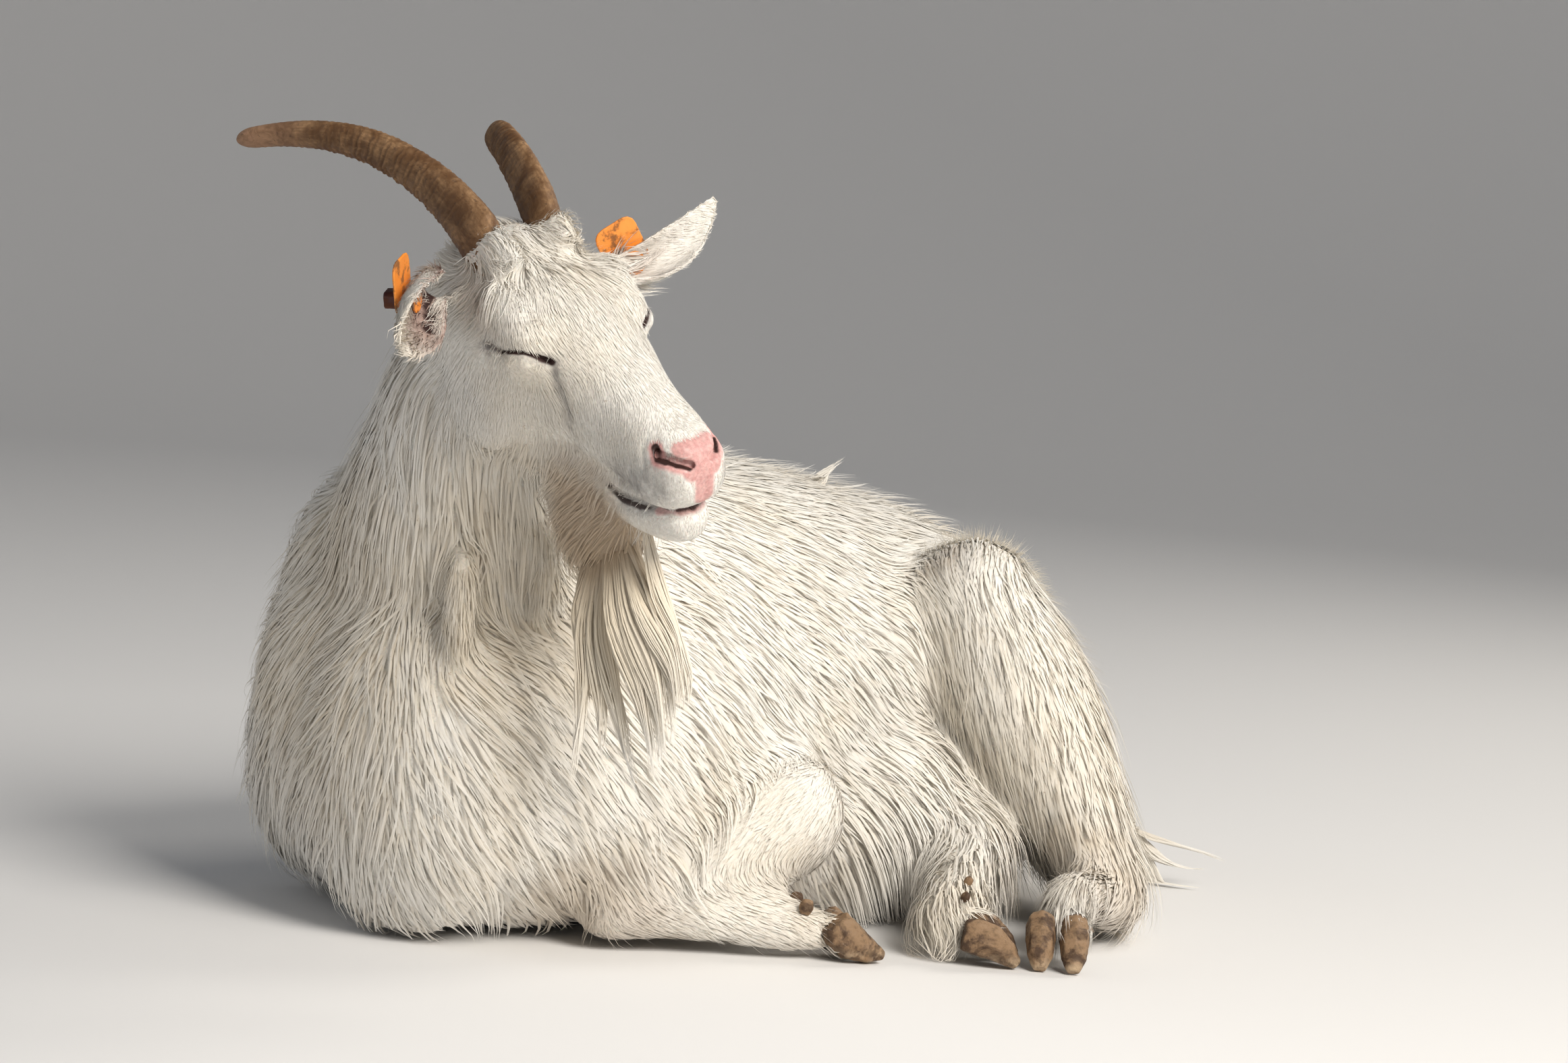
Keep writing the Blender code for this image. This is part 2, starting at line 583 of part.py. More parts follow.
def main():
    clear_scene()
    goat, cutters = new_collection(COLLECTION), new_collection(CUTTERS)
    coat = principled("coat", (0.86, 0.82, 0.75), 0.9)
    horn = principled("horn", (0.30, 0.21, 0.13), 0.55)
    hoof = principled("hoof", (0.33, 0.22, 0.13), 0.6)
    lid = principled("eyelid", (0.32, 0.27, 0.26), 0.6)
    orange = principled("tag_plastic", (0.90, 0.33, 0.08), 0.4)
    maroon = principled("button_plastic", (0.16, 0.07, 0.06), 0.45)

    head_place = head_matrix()
    trunk = fused("trunk", trunk_meshes(), goat, coat, 0.009, 880, smooth=8)
    neck = fused("neck", neck_meshes(), goat, coat, 0.007, 260)
    head = fused("head", head_meshes(), goat, coat, 0.004, 1150, smooth=4, matrix=head_place)
    fore_left = fused(
        "fore_leg_left",
        fore_leg_meshes((0.107, 0.084, 0.032), (0.205, 0.186, 0.024), (0.264, 0.250, 0.020), (0.165, 0.235, 0.105)),
        goat, coat, 0.005, 320,
    )
    fore_right = fused(
        "fore_leg_right",
        fore_leg_meshes((-0.095, 0.040, 0.032), (-0.148, 0.186, 0.024), (-0.184, 0.254, 0.020), (-0.160, 0.160, 0.130)),
        goat, coat, 0.005, 220,
    )
    hind_left = fused(
        "hind_leg_left",
        hind_leg_meshes((0.075, 0.640, 0.205), (0.075, 0.720, 0.150), (0.187, 0.485, 0.276), (0.325, 0.530, 0.034),
                        (0.347, 0.412, 0.050), (0.360, 0.380, 0.036), (0.095, 0.082, 0.061)),
        goat, coat, 0.006, 500,
    )
    hind_right = fused(
        "hind_leg_right",
        hind_leg_meshes((-0.020, 0.620, 0.120), (0.000, 0.660, 0.100), (0.090, 0.430, 0.110), (0.235, 0.440, 0.072),
                        (0.286, 0.318, 0.0285), (0.304, 0.306, 0.0215), (0.085, 0.080, 0.072)),
        goat, coat, 0.006, 330,
    )
    tail = fused(
        "tail",
        [loft([
            (0.020, 0.745, 0.185, 0.040, 0.034, 0.040),
            (0.055, 0.800, 0.150, 0.044, 0.036, 0.040),
            (0.105, 0.828, 0.100, 0.038, 0.032, 0.036),
            (0.155, 0.828, 0.062, 0.028, 0.024, 0.028),
            (0.195, 0.815, 0.042, 0.012, 0.010, 0.012),
        ])],
        goat, coat, 0.005, 160,
    )
    beard = fused(
        "beard",
        [loft([
            (0.178, -0.036, 0.388, 0.030, 0.022, 0.022),
            (0.184, -0.046, 0.355, 0.033, 0.020, 0.020),
            (0.196, -0.054, 0.305, 0.030, 0.016, 0.016),
            (0.210, -0.058, 0.260, 0.026, 0.013, 0.013),
            (0.214, -0.060, 0.222, 0.015, 0.009, 0.009),
            (0.206, -0.060, 0.196, 0.005, 0.004, 0.004),
        ], top=Vector((0.543, -0.839, 0.0)))],
        goat, coat, 0.004, 130,
    )

    soft = [trunk, neck, head, fore_left, fore_right, hind_left, hind_right, tail, beard]
    for obj in soft:
        stand_on_floor(obj)

    horns = [
        make_plain("horn_" + name, horn_mesh(side, HORN_BENDS[name]), head_place, goat, horn, 60)
        for name, side in (("right", -1), ("left", 1))
    ]
    lids = [
        make_plain("eyelid_" + name, eyelid_mesh(side), head_place, goat, lid, 60)
        for name, side in (("right", -1), ("left", 1))
    ]
    ears = [make_ear(name, *EARS[name], head_place, goat, coat) for name in ("right", "left")]
    wattles = [
        fused("wattle_" + name, [loft([
            (*(Vector(top) + Vector((0, 0, 0.020))), 0.012, 0.012, 0.012),
            (*top, 0.015, 0.014, 0.014),
            (*(Vector(top) - Vector((0, 0, 0.030))), 0.017, 0.015, 0.015),
            (*(Vector(top) - Vector((0, 0, 0.052))), 0.013, 0.011, 0.011),
            (*(Vector(top) - Vector((0, 0, 0.062))), 0.004, 0.004, 0.004),
        ], top=Vector((0, 1, 0)))], goat, coat, 0.003, 64)
        for name, top in WATTLES.items()
    ]

    parted(trunk, [fore_right], cutters, 2 * GAP)
    feet = {}
    legs = {"fore_left": fore_left, "fore_right": fore_right, "hind_left": hind_left, "hind_right": hind_right}
    for name, (heel, to_toe, up_wall) in FEET.items():
        frame = frame_of(heel, to_toe, up_wall)
        claws = []
        for claw_name, offset in (("inner", -1), ("outer", 1)):
            place = frame @ Matrix.Translation((0, offset * (CLAW_WIDTH / 2 + 0.0012), 0))
            claws.append(make_plain(f"claw_{name}_{claw_name}", claw_mesh(), place, goat, hoof))
        spot, direction = DEWCLAWS[name]
        across = frame.to_3x3() @ Vector((0, 1, 0))
        dewclaws = []
        for claw_name, offset in (("inner", -1), ("outer", 1)):
            place = frame_of(on_surface(legs[name], Vector(spot) + across * offset * 0.0135, direction), direction, up_wall)
            radii = (DEWCLAW_LENGTH / 2, 0.0060, 0.0070)
            dewclaws.append(make_plain(f"dewclaw_{name}_{claw_name}", ball((0, 0, 0), radii, segments=7),
                                       place, goat, hoof))
        for obj in claws:
            stand_on_floor(obj)
        feet[name] = claws + dewclaws
        parted(legs[name], feet[name], cutters)

    for name, ear in zip(("right", "left"), ears):
        flap, button, pin = make_tag(name, head_place @ ear_frame(*EARS[name][:3]), goat, orange, maroon)
        parted(flap, [pin], cutters)
        parted(button, [pin], cutters)
        parted(ear, [pin, flap], cutters)

    # Each seam: what is cut, and what it is cut by
    parted(head, lids, cutters)
    for obj in ears + horns + [beard]:
        parted(obj, [head], cutters)
    parted(neck, [head, beard] + wattles, cutters)
    for wattle in wattles:
        parted(wattle, [head, trunk], cutters)
    parted(trunk, feet["fore_right"], cutters)
    parted(neck, [trunk], cutters)
    for obj in [fore_left, hind_left]:
        parted(obj, [trunk], cutters)
    parted(hind_right, [trunk, hind_left, fore_left], cutters)
    parted(tail, [trunk, hind_left], cutters)
    for obj in goat.objects:
        obj.data.transform(Matrix.Translation(SHIFT))


main()
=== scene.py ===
import math

import bmesh
import bpy
import numpy as np
from mathutils import Matrix, Vector
from mathutils.bvhtree import BVHTree
from mathutils.kdtree import KDTree


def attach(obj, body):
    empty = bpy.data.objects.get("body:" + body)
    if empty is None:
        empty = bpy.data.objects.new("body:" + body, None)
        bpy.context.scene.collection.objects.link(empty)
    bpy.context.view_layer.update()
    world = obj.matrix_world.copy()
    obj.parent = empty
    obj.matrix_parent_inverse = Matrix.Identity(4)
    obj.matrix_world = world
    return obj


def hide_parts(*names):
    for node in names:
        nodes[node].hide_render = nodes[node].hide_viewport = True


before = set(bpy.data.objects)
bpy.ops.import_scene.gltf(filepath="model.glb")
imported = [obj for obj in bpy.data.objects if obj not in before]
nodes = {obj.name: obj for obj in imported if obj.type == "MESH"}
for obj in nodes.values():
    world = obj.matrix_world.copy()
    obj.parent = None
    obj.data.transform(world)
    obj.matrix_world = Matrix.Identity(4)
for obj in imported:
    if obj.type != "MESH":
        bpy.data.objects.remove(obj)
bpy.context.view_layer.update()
scene = bpy.context.scene


# ==== Stage: a pale sweep of card that rises all round, with soft lamps ====
# The goat lies on the flat middle of the sweep. A large warm lamp stands in front of it on its left, as the low
# sun does, a cool one fills from its right, and a third brings out the hair along its back from behind.

AIM = Vector((0.1238, -0.1516, 0.3426))
VIEW_TURN = math.radians(33)
VIEW_RISE = math.radians(5)
VIEW_ROLL = math.radians(5)
VIEW_DISTANCE = 3.5
LENS = 101.6
SWEEP_FLAT = 4.6
SWEEP_CURVE = 3.0
SWEEP_STEPS = 12
SWEEP_WALL = 2.5
CARD_COLOUR = (0.80, 0.79, 0.78, 1)
LAMP_AIM = Vector((0.05, -0.1, 0.3))

back = Vector((
    math.sin(VIEW_TURN) * math.cos(VIEW_RISE), -math.cos(VIEW_TURN) * math.cos(VIEW_RISE), math.sin(VIEW_RISE)
))
right = Vector((math.cos(VIEW_TURN), math.sin(VIEW_TURN), 0))
up = back.cross(right)
right_rolled = right * math.cos(VIEW_ROLL) + up * math.sin(VIEW_ROLL)
up_rolled = up * math.cos(VIEW_ROLL) - right * math.sin(VIEW_ROLL)
camera_data = bpy.data.cameras.new("camera")
camera_data.lens = LENS
camera_data.sensor_width = 36
camera = bpy.data.objects.new("camera", camera_data)
camera.matrix_world = Matrix.Translation(AIM + back * VIEW_DISTANCE) @ Matrix(
    (right_rolled, up_rolled, back)
).transposed().to_4x4()
scene.collection.objects.link(camera)
scene.camera = camera


def new_material(name, colour, roughness, specular=0.5):
    """A material with a Principled shader, and the shader to wire."""
    material = bpy.data.materials.new(name)
    material.use_nodes = True
    material.diffuse_color = colour
    shader = material.node_tree.nodes["Principled BSDF"]
    shader.inputs["Base Color"].default_value = colour
    shader.inputs["Roughness"].default_value = roughness
    shader.inputs["Specular IOR Level"].default_value = specular
    return material, shader


sweep_bm = bmesh.new()
profile = [(0.0, 0.0), (1.5, 0.0), (3.0, 0.0)]
for i in range(SWEEP_STEPS + 1):
    turn = math.radians(90 * i / SWEEP_STEPS)
    profile.append((SWEEP_FLAT + SWEEP_CURVE * math.sin(turn), SWEEP_CURVE * (1 - math.cos(turn))))
profile.append((SWEEP_FLAT + SWEEP_CURVE, SWEEP_CURVE + SWEEP_WALL))
rim = [sweep_bm.verts.new((x, 0, z)) for x, z in profile]
rim_edges = [sweep_bm.edges.new(pair) for pair in zip(rim, rim[1:])]
bmesh.ops.spin(
    sweep_bm, geom=rim + rim_edges, cent=(0, 0, 0), axis=(0, 0, 1), angle=math.tau, steps=96, use_merge=True
)
bmesh.ops.remove_doubles(sweep_bm, verts=sweep_bm.verts, dist=0.0001)
bmesh.ops.recalc_face_normals(sweep_bm, faces=sweep_bm.faces)
sweep_mesh = bpy.data.meshes.new("sweep")
sweep_bm.to_mesh(sweep_mesh)
sweep_bm.free()
sweep_mesh.shade_smooth()
sweep = bpy.data.objects.new("sweep", sweep_mesh)
scene.collection.objects.link(sweep)
sweep_mesh.materials.append(new_material("pale_card", CARD_COLOUR, 0.9, 0.2)[0])


def lamp(name, place, size, power, colour):
    """A square lamp that faces the goat."""
    data = bpy.data.lights.new(name, "AREA")
    data.size = size
    data.energy = power
    data.color = colour
    obj = bpy.data.objects.new(name, data)
    obj.location = place
    obj.rotation_mode = "QUATERNION"
    obj.rotation_quaternion = (Vector(place) - LAMP_AIM).to_track_quat("Z", "Y")
    scene.collection.objects.link(obj)


lamp("warm_key", (3.1, -1.2, 2.6), 1.9, 330, (1.0, 0.955, 0.89))
lamp("cool_fill", (-2.6, -2.4, 1.9), 2.0, 18, (0.78, 0.87, 1.0))
lamp("back_rim", (1.0, 3.1, 2.6), 1.4, 80, (1.0, 0.95, 0.87))
world = bpy.data.worlds.new("studio")
world.use_nodes = True
world.node_tree.nodes["Background"].inputs["Color"].default_value = (0.80, 0.88, 1.0, 1)
world.node_tree.nodes["Background"].inputs["Strength"].default_value = 0.25
scene.world = world
scene.view_settings.view_transform = "Standard"
scene.view_settings.exposure = -0.75


# ==== Skin: one hide over the trunk, neck, head, ears, limbs and tail ====
# The flesh solids are joined and made into one closed surface, smoothed, and drawn in by the depth of the coat
# at each place, so that the hair that grows from it ends at the solids' outline.

FLESH = [
    "trunk", "neck", "head", "tail", "fore_leg_left", "fore_leg_right", "hind_leg_left", "hind_leg_right",
    "ear_left", "ear_right", "wattle_left", "wattle_right", "eyelid_left", "eyelid_right",
]
COAT_DEPTH = {
    "trunk": 0.0090, "neck": 0.0088, "head": 0.0045, "tail": 0.0120, "fore_leg_left": 0.0050,
    "fore_leg_right": 0.0055, "hind_leg_left": 0.0095, "hind_leg_right": 0.0070, "ear_left": 0.0016,
    "ear_right": 0.0016, "wattle_left": 0.0030, "wattle_right": 0.0030, "eyelid_left": 0.0015,
    "eyelid_right": 0.0015,
}
HEAD_PLACE = np.array((-0.0271, -0.3596, 0.5080))
HEAD_AXES = np.array(((0.9133, -0.1941, -0.3581), (0.3150, 0.8942, 0.3187), (0.2583, -0.4039, 0.8776)))
HORN_ROOT = {"horn_right": (0.0540, -0.0310, 0.0540), "horn_left": (0.0500, 0.0220, 0.0560)}
HORN_START = {"horn_right": (-0.823, 0.044, 0.567), "horn_left": (-0.796, 0.184, 0.577)}
MOUND_HEIGHT = {"horn_right": 0.030, "horn_left": 0.022}
MOUND_THICK = 0.0060
MUZZLE_FROM = 0.140
MUZZLE_TO = 0.225
MUZZLE_COAT = 0.25
SKIN_VOXEL = 0.0029
SEAM_CLOSE = 0.0009
SKIN_TRIANGLES = 150000
MERGE_GAP = 0.00002
FIRST_ROUNDS = 7
BODY_ROUNDS = 34
FOLD_ROUNDS = 90
STIFLE_FOLD = (0.1150, 0.1650, 0.2700)
STIFLE_REACH = 0.075
# The loose skin of the throat, between the jaws, that the beard hangs from
THROAT_PLACE = (0.1420, 0.0000, -0.1180)
THROAT_AXES = ((0.0580, 0.0, 0.0), (0.0, 0.0280, 0.0), (0.0, 0.0, 0.0540))
# Each ear: its root, the way that it points and the way that it opens, from the head's own axes
EAR_ROOT = {"ear_right": (0.015, -0.073, 0.047), "ear_left": (0.066, 0.052, 0.038)}
EAR_AXIS = {"ear_right": (0.589, -0.796, 0.136), "ear_left": (0.270, 0.985, -0.205)}
EAR_OPENING = {"ear_right": (0.60, 0.77, 0.12), "ear_left": (0.46, 0.05, 0.80)}
FRINGE_ALONG = 0.060
FRINGE_ACROSS = 0.16
FRINGE_FROM = 0.040


def arrays_of(bm, grow=0.0):
    """The points and triangles of an edited mesh, with its surface moved out by grow. It ends the edit."""
    bm.normal_update()
    bm.verts.index_update()
    points = np.array([tuple(v.co + v.normal * grow) for v in bm.verts])
    faces = np.array([[v.index for v in face.verts] for face in bm.faces])
    bm.free()
    return points, faces


def node_arrays(name, grow=0.0, cut_place=None, cut_way=None):
    """A CAD node's points and triangles, merged, cut off at a place if one is given, and moved out by grow."""
    bm = bmesh.new()
    bm.from_mesh(nodes[name].data)
    bmesh.ops.remove_doubles(bm, verts=bm.verts, dist=MERGE_GAP)
    if cut_place is not None:
        bmesh.ops.bisect_plane(
            bm, geom=bm.verts[:] + bm.edges[:] + bm.faces[:], plane_co=cut_place.tolist(),
            plane_no=cut_way.tolist(), clear_outer=True,
        )
        bmesh.ops.holes_fill(bm, edges=[edge for edge in bm.edges if edge.is_boundary])
    bmesh.ops.triangulate(bm, faces=bm.faces)
    if cut_place is not None:
        bmesh.ops.recalc_face_normals(bm, faces=bm.faces)
    return arrays_of(bm, grow)


def joined(solids):
    """Several solids' points and triangles as one, and which solid each triangle comes from."""
    starts = np.cumsum([0] + [len(points) for points, _ in solids[:-1]])
    points = np.concatenate([solid[0] for solid in solids])
    faces = np.concatenate([solid[1] + start for solid, start in zip(solids, starts)])
    return points, faces, np.repeat(np.arange(len(solids)), [len(solid[1]) for solid in solids])


def shape_of(points, faces):
    """A shape that can be asked for its nearest spot to a place."""
    return BVHTree.FromPolygons(points.tolist(), faces.tolist())


def touched(shape, places):
    """For each place: the nearest spot on a shape, the way out of it there, its face, and how far off it is."""
    hits = [shape.find_nearest(place) for place in places.tolist()]
    spots, ways = (np.array([hit[k][:] for hit in hits]) for k in (0, 1))
    return spots, ways, np.array([hit[2] for hit in hits]), np.array([hit[3] for hit in hits])


def mesh_of(name, points, faces):
    """A mesh from points and faces that all have the same number of corners."""
    mesh = bpy.data.meshes.new(name)
    corners = faces.shape[1]
    mesh.vertices.add(len(points))
    mesh.vertices.foreach_set("co", points.astype(np.float32).ravel())
    mesh.loops.add(len(faces) * corners)
    mesh.loops.foreach_set("vertex_index", faces.astype(np.int32).ravel())
    mesh.polygons.add(len(faces))
    mesh.polygons.foreach_set("loop_start", np.arange(0, len(faces) * corners, corners, dtype=np.int32))
    mesh.update(calc_edges=True)
    mesh.shade_smooth()
    return mesh


def paint_points(mesh, name, colours):
    """A colour stored at each point of a mesh."""
    layer = mesh.color_attributes.new(name, "FLOAT_COLOR", "POINT")
    layer.data.foreach_set("color", colours.astype(np.float32).ravel())


def read_mesh(mesh):
    """A mesh's points and its triangles."""
    mesh.calc_loop_triangles()
    points = np.empty(len(mesh.vertices) * 3, np.float32)
    mesh.vertices.foreach_get("co", points)
    faces = np.empty(len(mesh.loop_triangles) * 3, np.int32)
    mesh.loop_triangles.foreach_get("vertices", faces)
    return points.reshape(-1, 3).astype(np.float64), faces.reshape(-1, 3)


def added(name, mesh):
    """A new object in the scene."""
    obj = bpy.data.objects.new(name, mesh)
    scene.collection.objects.link(obj)
    return obj


def placed(name, mesh, slot, *stood_for):
    """A finished piece of the goat, fixed to its body, in place of the CAD nodes that it stands for."""
    obj = added(name, mesh)
    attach(obj, "root")
    if stood_for:
        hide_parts(*stood_for)
    return obj


def evaluated(obj):
    """A plain mesh of an object with its modifiers applied, and the object removed."""
    mesh = bpy.data.meshes.new_from_object(obj.evaluated_get(bpy.context.evaluated_depsgraph_get()))
    bpy.data.objects.remove(obj)
    return mesh


def edges_of(faces):
    """Each edge of some triangles once."""
    ends = np.concatenate([faces[:, [0, 1]], faces[:, [1, 2]], faces[:, [2, 0]]])
    ends.sort(axis=1)
    return np.unique(ends, axis=0)


def relaxed(values, edges, rounds, weight=1.0):
    """Values at the points, each drawn halfway to the mean of its neighbours in every round."""
    count = len(values)
    flat = values.reshape(count, -1)
    ends = np.concatenate([edges[:, 0], edges[:, 1]])
    others = np.concatenate([edges[:, 1], edges[:, 0]])
    degree = np.bincount(ends, minlength=count)[:, None].clip(1)
    weight = np.broadcast_to(np.asarray(weight, float).reshape(-1, 1), (count, 1))
    for _ in range(rounds):
        mean = np.stack([np.bincount(ends, flat[others, k], count) for k in range(flat.shape[1])], 1) / degree
        flat = flat + (mean - flat) * 0.5 * weight
    return flat.reshape(values.shape)


def point_normals(points, faces):
    """The way out of the surface at each point."""
    across = np.cross(points[faces[:, 1]] - points[faces[:, 0]], points[faces[:, 2]] - points[faces[:, 0]])
    normals = np.stack([
        np.bincount(faces.ravel(), np.repeat(across[:, k], 3), len(points)) for k in range(3)
    ], 1)
    return normals / np.linalg.norm(normals, axis=1)[:, None].clip(1e-12)


def unit(vectors):
    """Vectors brought to a length of 1."""
    return vectors / np.linalg.norm(vectors, axis=-1, keepdims=True).clip(1e-12)


def nearest_node(points):
    """Which of the flesh nodes each point lies nearest to, by its place in FLESH."""
    node_points, node_faces, node_of = joined([node_arrays(name) for name in FLESH])
    return node_of[touched(shape_of(node_points, node_faces), points)[2]]


flesh = [node_arrays(name, SEAM_CLOSE) for name in FLESH]
for name in HORN_ROOT:
    start = np.array(HORN_START[name]) @ HEAD_AXES
    mound_top = HEAD_PLACE + np.array(HORN_ROOT[name]) @ HEAD_AXES + start * MOUND_HEIGHT[name]
    flesh.append(node_arrays(name, MOUND_THICK, mound_top, start))
bm = bmesh.new()
bmesh.ops.create_icosphere(bm, subdivisions=4, radius=1.0)
throat_points, throat_faces = arrays_of(bm)
flesh.append((HEAD_PLACE + (throat_points @ THROAT_AXES + THROAT_PLACE) @ HEAD_AXES, throat_faces))
hide = added("hide", mesh_of("hide", *joined(flesh)[:2]))
remesh = hide.modifiers.new("remesh", "REMESH")
remesh.mode = "VOXEL"
remesh.voxel_size = SKIN_VOXEL
points, faces = read_mesh(evaluated(hide))
edges = edges_of(faces)
owner = nearest_node(points)


def by_node(values, default=0.0):
    """A value at each point from a value for each node."""
    return np.array([values.get(name, default) for name in FLESH], float)[owner]


def on(*names):
    """Which points belong to the named nodes."""
    return np.isin(owner, [FLESH.index(name) for name in names])


def in_head(points):
    """Points or directions from the head's place: how far forward, to its left, and up."""
    return points @ HEAD_AXES.T


firm = {name: 0.0 for name in ("eyelid_left", "eyelid_right", "head", "ear_left", "ear_right")}
soft = by_node({**firm, "wattle_left": 0.3, "wattle_right": 0.3}, 1.0)
soft = relaxed(soft, edges, 12)
points = relaxed(points, edges, FIRST_ROUNDS)
points = relaxed(points, edges, BODY_ROUNDS, soft)
fold = np.exp(-((np.linalg.norm(points - STIFLE_FOLD, axis=1) / STIFLE_REACH) ** 4))
points = relaxed(points, edges, FOLD_ROUNDS, fold)
muzzle = np.interp(in_head(points - HEAD_PLACE)[:, 0], (MUZZLE_FROM, MUZZLE_TO), (1.0, MUZZLE_COAT))
depth = by_node(COAT_DEPTH) * np.where(on("head"), muzzle, 1.0)
depth = relaxed(relaxed(depth, edges, 30, soft), edges, 9)
points = points - point_normals(points, faces) * depth[:, None]
points = relaxed(points, edges, 6, soft)

# The left ear is broader than its solid by the fringe of hair at its edge
ear_way = np.array(EAR_AXIS["ear_left"]) / np.linalg.norm(EAR_AXIS["ear_left"])
ear_spot = in_head(points - HEAD_PLACE) - EAR_ROOT["ear_left"]
ear_along = ear_spot @ ear_way
broader = np.clip(ear_along / FRINGE_FROM, 0, 1) * on("ear_left")
ear_across = ear_spot - ear_way * ear_along[:, None]
ear_move = ear_way * (FRINGE_ALONG * ear_along)[:, None] + ear_across * FRINGE_ACROSS
points = points + (ear_move * broader[:, None]) @ HEAD_AXES

# The body needs fewer faces than the head
hide = added("hide", mesh_of("hide", points, faces))
coarse = hide.vertex_groups.new(name="coarse")
for level in range(5):
    coarse.add(np.nonzero((soft * 4).round() == level)[0].tolist(), level / 4, "REPLACE")
decimate = hide.modifiers.new("decimate", "DECIMATE")
decimate.ratio = SKIN_TRIANGLES / len(faces)
decimate.vertex_group = "coarse"
decimate.vertex_group_factor = 1.0
points, faces = read_mesh(evaluated(hide))

# The muzzle and the lids get finer faces before their folds are cut
EYE_CENTRE = np.array((0.112, 0.052, 0.030))
FINE_EYE = 0.034
FINE_MUZZLE = 0.193
FINE_EDGE = 0.0017
FINEST_EDGE = 0.0011
CREASE_REACH = 0.0065
CHIN_REACH = 0.020


def refined(points, faces, chosen, longest):
    """Splits the edges between chosen points that are longer than a length."""
    bm = bmesh.new()
    bm.from_mesh(mesh_of("part", points, faces))
    bm.verts.ensure_lookup_table()
    split = [
        edge for edge in bm.edges
        if chosen[edge.verts[0].index] and chosen[edge.verts[1].index] and edge.calc_length() > longest
    ]
    bmesh.ops.subdivide_edges(bm, edges=split, cuts=1)
    bmesh.ops.triangulate(bm, faces=bm.faces)
    mesh = bpy.data.meshes.new("part")
    bm.to_mesh(mesh)
    bm.free()
    return read_mesh(mesh)


def both_sides(line):
    """A line on the head's right side and its mirror image on the left."""
    line = np.array(line, float)
    return [line, line * (1, -1, 1)]


def fine_part(spots):
    """Which spots of the head are on the muzzle or by an eye."""
    eye_gap = np.linalg.norm(np.stack([spots[:, 0], np.abs(spots[:, 1]), spots[:, 2]], 1) - EYE_CENTRE, axis=1)
    on_muzzle = (spots[:, 0] > FINE_MUZZLE) & (np.abs(spots[:, 1]) < 0.05) & (spots[:, 2] > -0.11)
    return on_muzzle | (eye_gap < FINE_EYE)


def line_gap(spots, line):
    """The distance from each spot to a line of points."""
    gap = np.full(len(spots), 1.0)
    for start, end in zip(line, line[1:]):
        along = np.clip(((spots - start) @ (end - start)) / ((end - start) @ (end - start)), 0, 1)
        gap = np.minimum(gap, np.linalg.norm(spots - start - along[:, None] * (end - start), axis=1))
    return gap


LASH_LINE = (
    (0.0790, -0.0590, 0.0200), (0.0900, -0.0610, 0.0235), (0.0990, -0.0610, 0.0265), (0.1100, -0.0600, 0.0310),
    (0.1170, -0.0570, 0.0335), (0.1250, -0.0515, 0.0340), (0.1345, -0.0445, 0.0305),
)
NOSTRIL_LINE = (
    (0.2425, -0.0240, 0.0045), (0.2470, -0.0245, 0.0025), (0.2530, -0.0225, 0.0020), (0.2600, -0.0180, 0.0005),
    (0.2655, -0.0105, -0.0010),
)
MOUTH_LINE = (
    (0.1880, -0.0250, -0.0585), (0.2050, -0.0260, -0.0560), (0.2250, -0.0270, -0.0510), (0.2450, -0.0210, -0.0470),
    (0.2560, -0.0100, -0.0450), (0.2590, 0.0000, -0.0440),
)
CHIN_CENTRE = np.array((0.2440, 0.0, -0.0600))
CHIN_FORWARD = np.array((0.0100, 0.0, 0.0020))

spots = in_head(points - HEAD_PLACE)
on_chin = np.exp(-(((spots - CHIN_CENTRE) / CHIN_REACH) ** 2).sum(1))
points = points + (CHIN_FORWARD @ HEAD_AXES) * on_chin[:, None]
points, faces = refined(points, faces, fine_part(in_head(points - HEAD_PLACE)), FINE_EDGE)
spots = in_head(points - HEAD_PLACE)
crease_gap = np.min([
    line_gap(spots, side) for line in (LASH_LINE, NOSTRIL_LINE, MOUTH_LINE) for side in both_sides(line)
], axis=0)
points, faces = refined(points, faces, crease_gap < CREASE_REACH, FINEST_EDGE)
edges = edges_of(faces)
spots = in_head(points - HEAD_PLACE)
fine = fine_part(spots)
points = relaxed(points, edges, 3, fine)
in_face = (spots[:, 0] > 0.05) & (spots[:, 0] < 0.3)
in_face &= (np.abs(spots[:, 1]) < 0.09) & (np.abs(spots[:, 2]) < 0.13)
face_part = np.nonzero(in_face)[0]
face_faces = faces[in_face[faces].all(1)].tolist()


def laid_on(line, shape):
    """A line's points moved onto a shape, in the head's axes."""
    places = np.array([HEAD_PLACE + spot @ HEAD_AXES for spot in np.array(line, float)])
    return in_head(touched(shape, places)[0] - HEAD_PLACE)


def stroked(line, width, height):
    """The skin raised or sunk along a line of the face, on both sides unless it is on the middle."""
    moved = points.copy()
    shape = BVHTree.FromPolygons(points.tolist(), face_faces)
    face_spots = in_head(points[face_part] - HEAD_PLACE)
    weight = np.zeros(len(face_part))
    for side in both_sides(line)[:2 if np.any(np.array(line)[:, 1]) else 1]:
        weight += np.exp(-((line_gap(face_spots, laid_on(side, shape)) / width) ** 2))
    moved[face_part] += point_normals(points, faces)[face_part] * (weight * height)[:, None]
    return moved


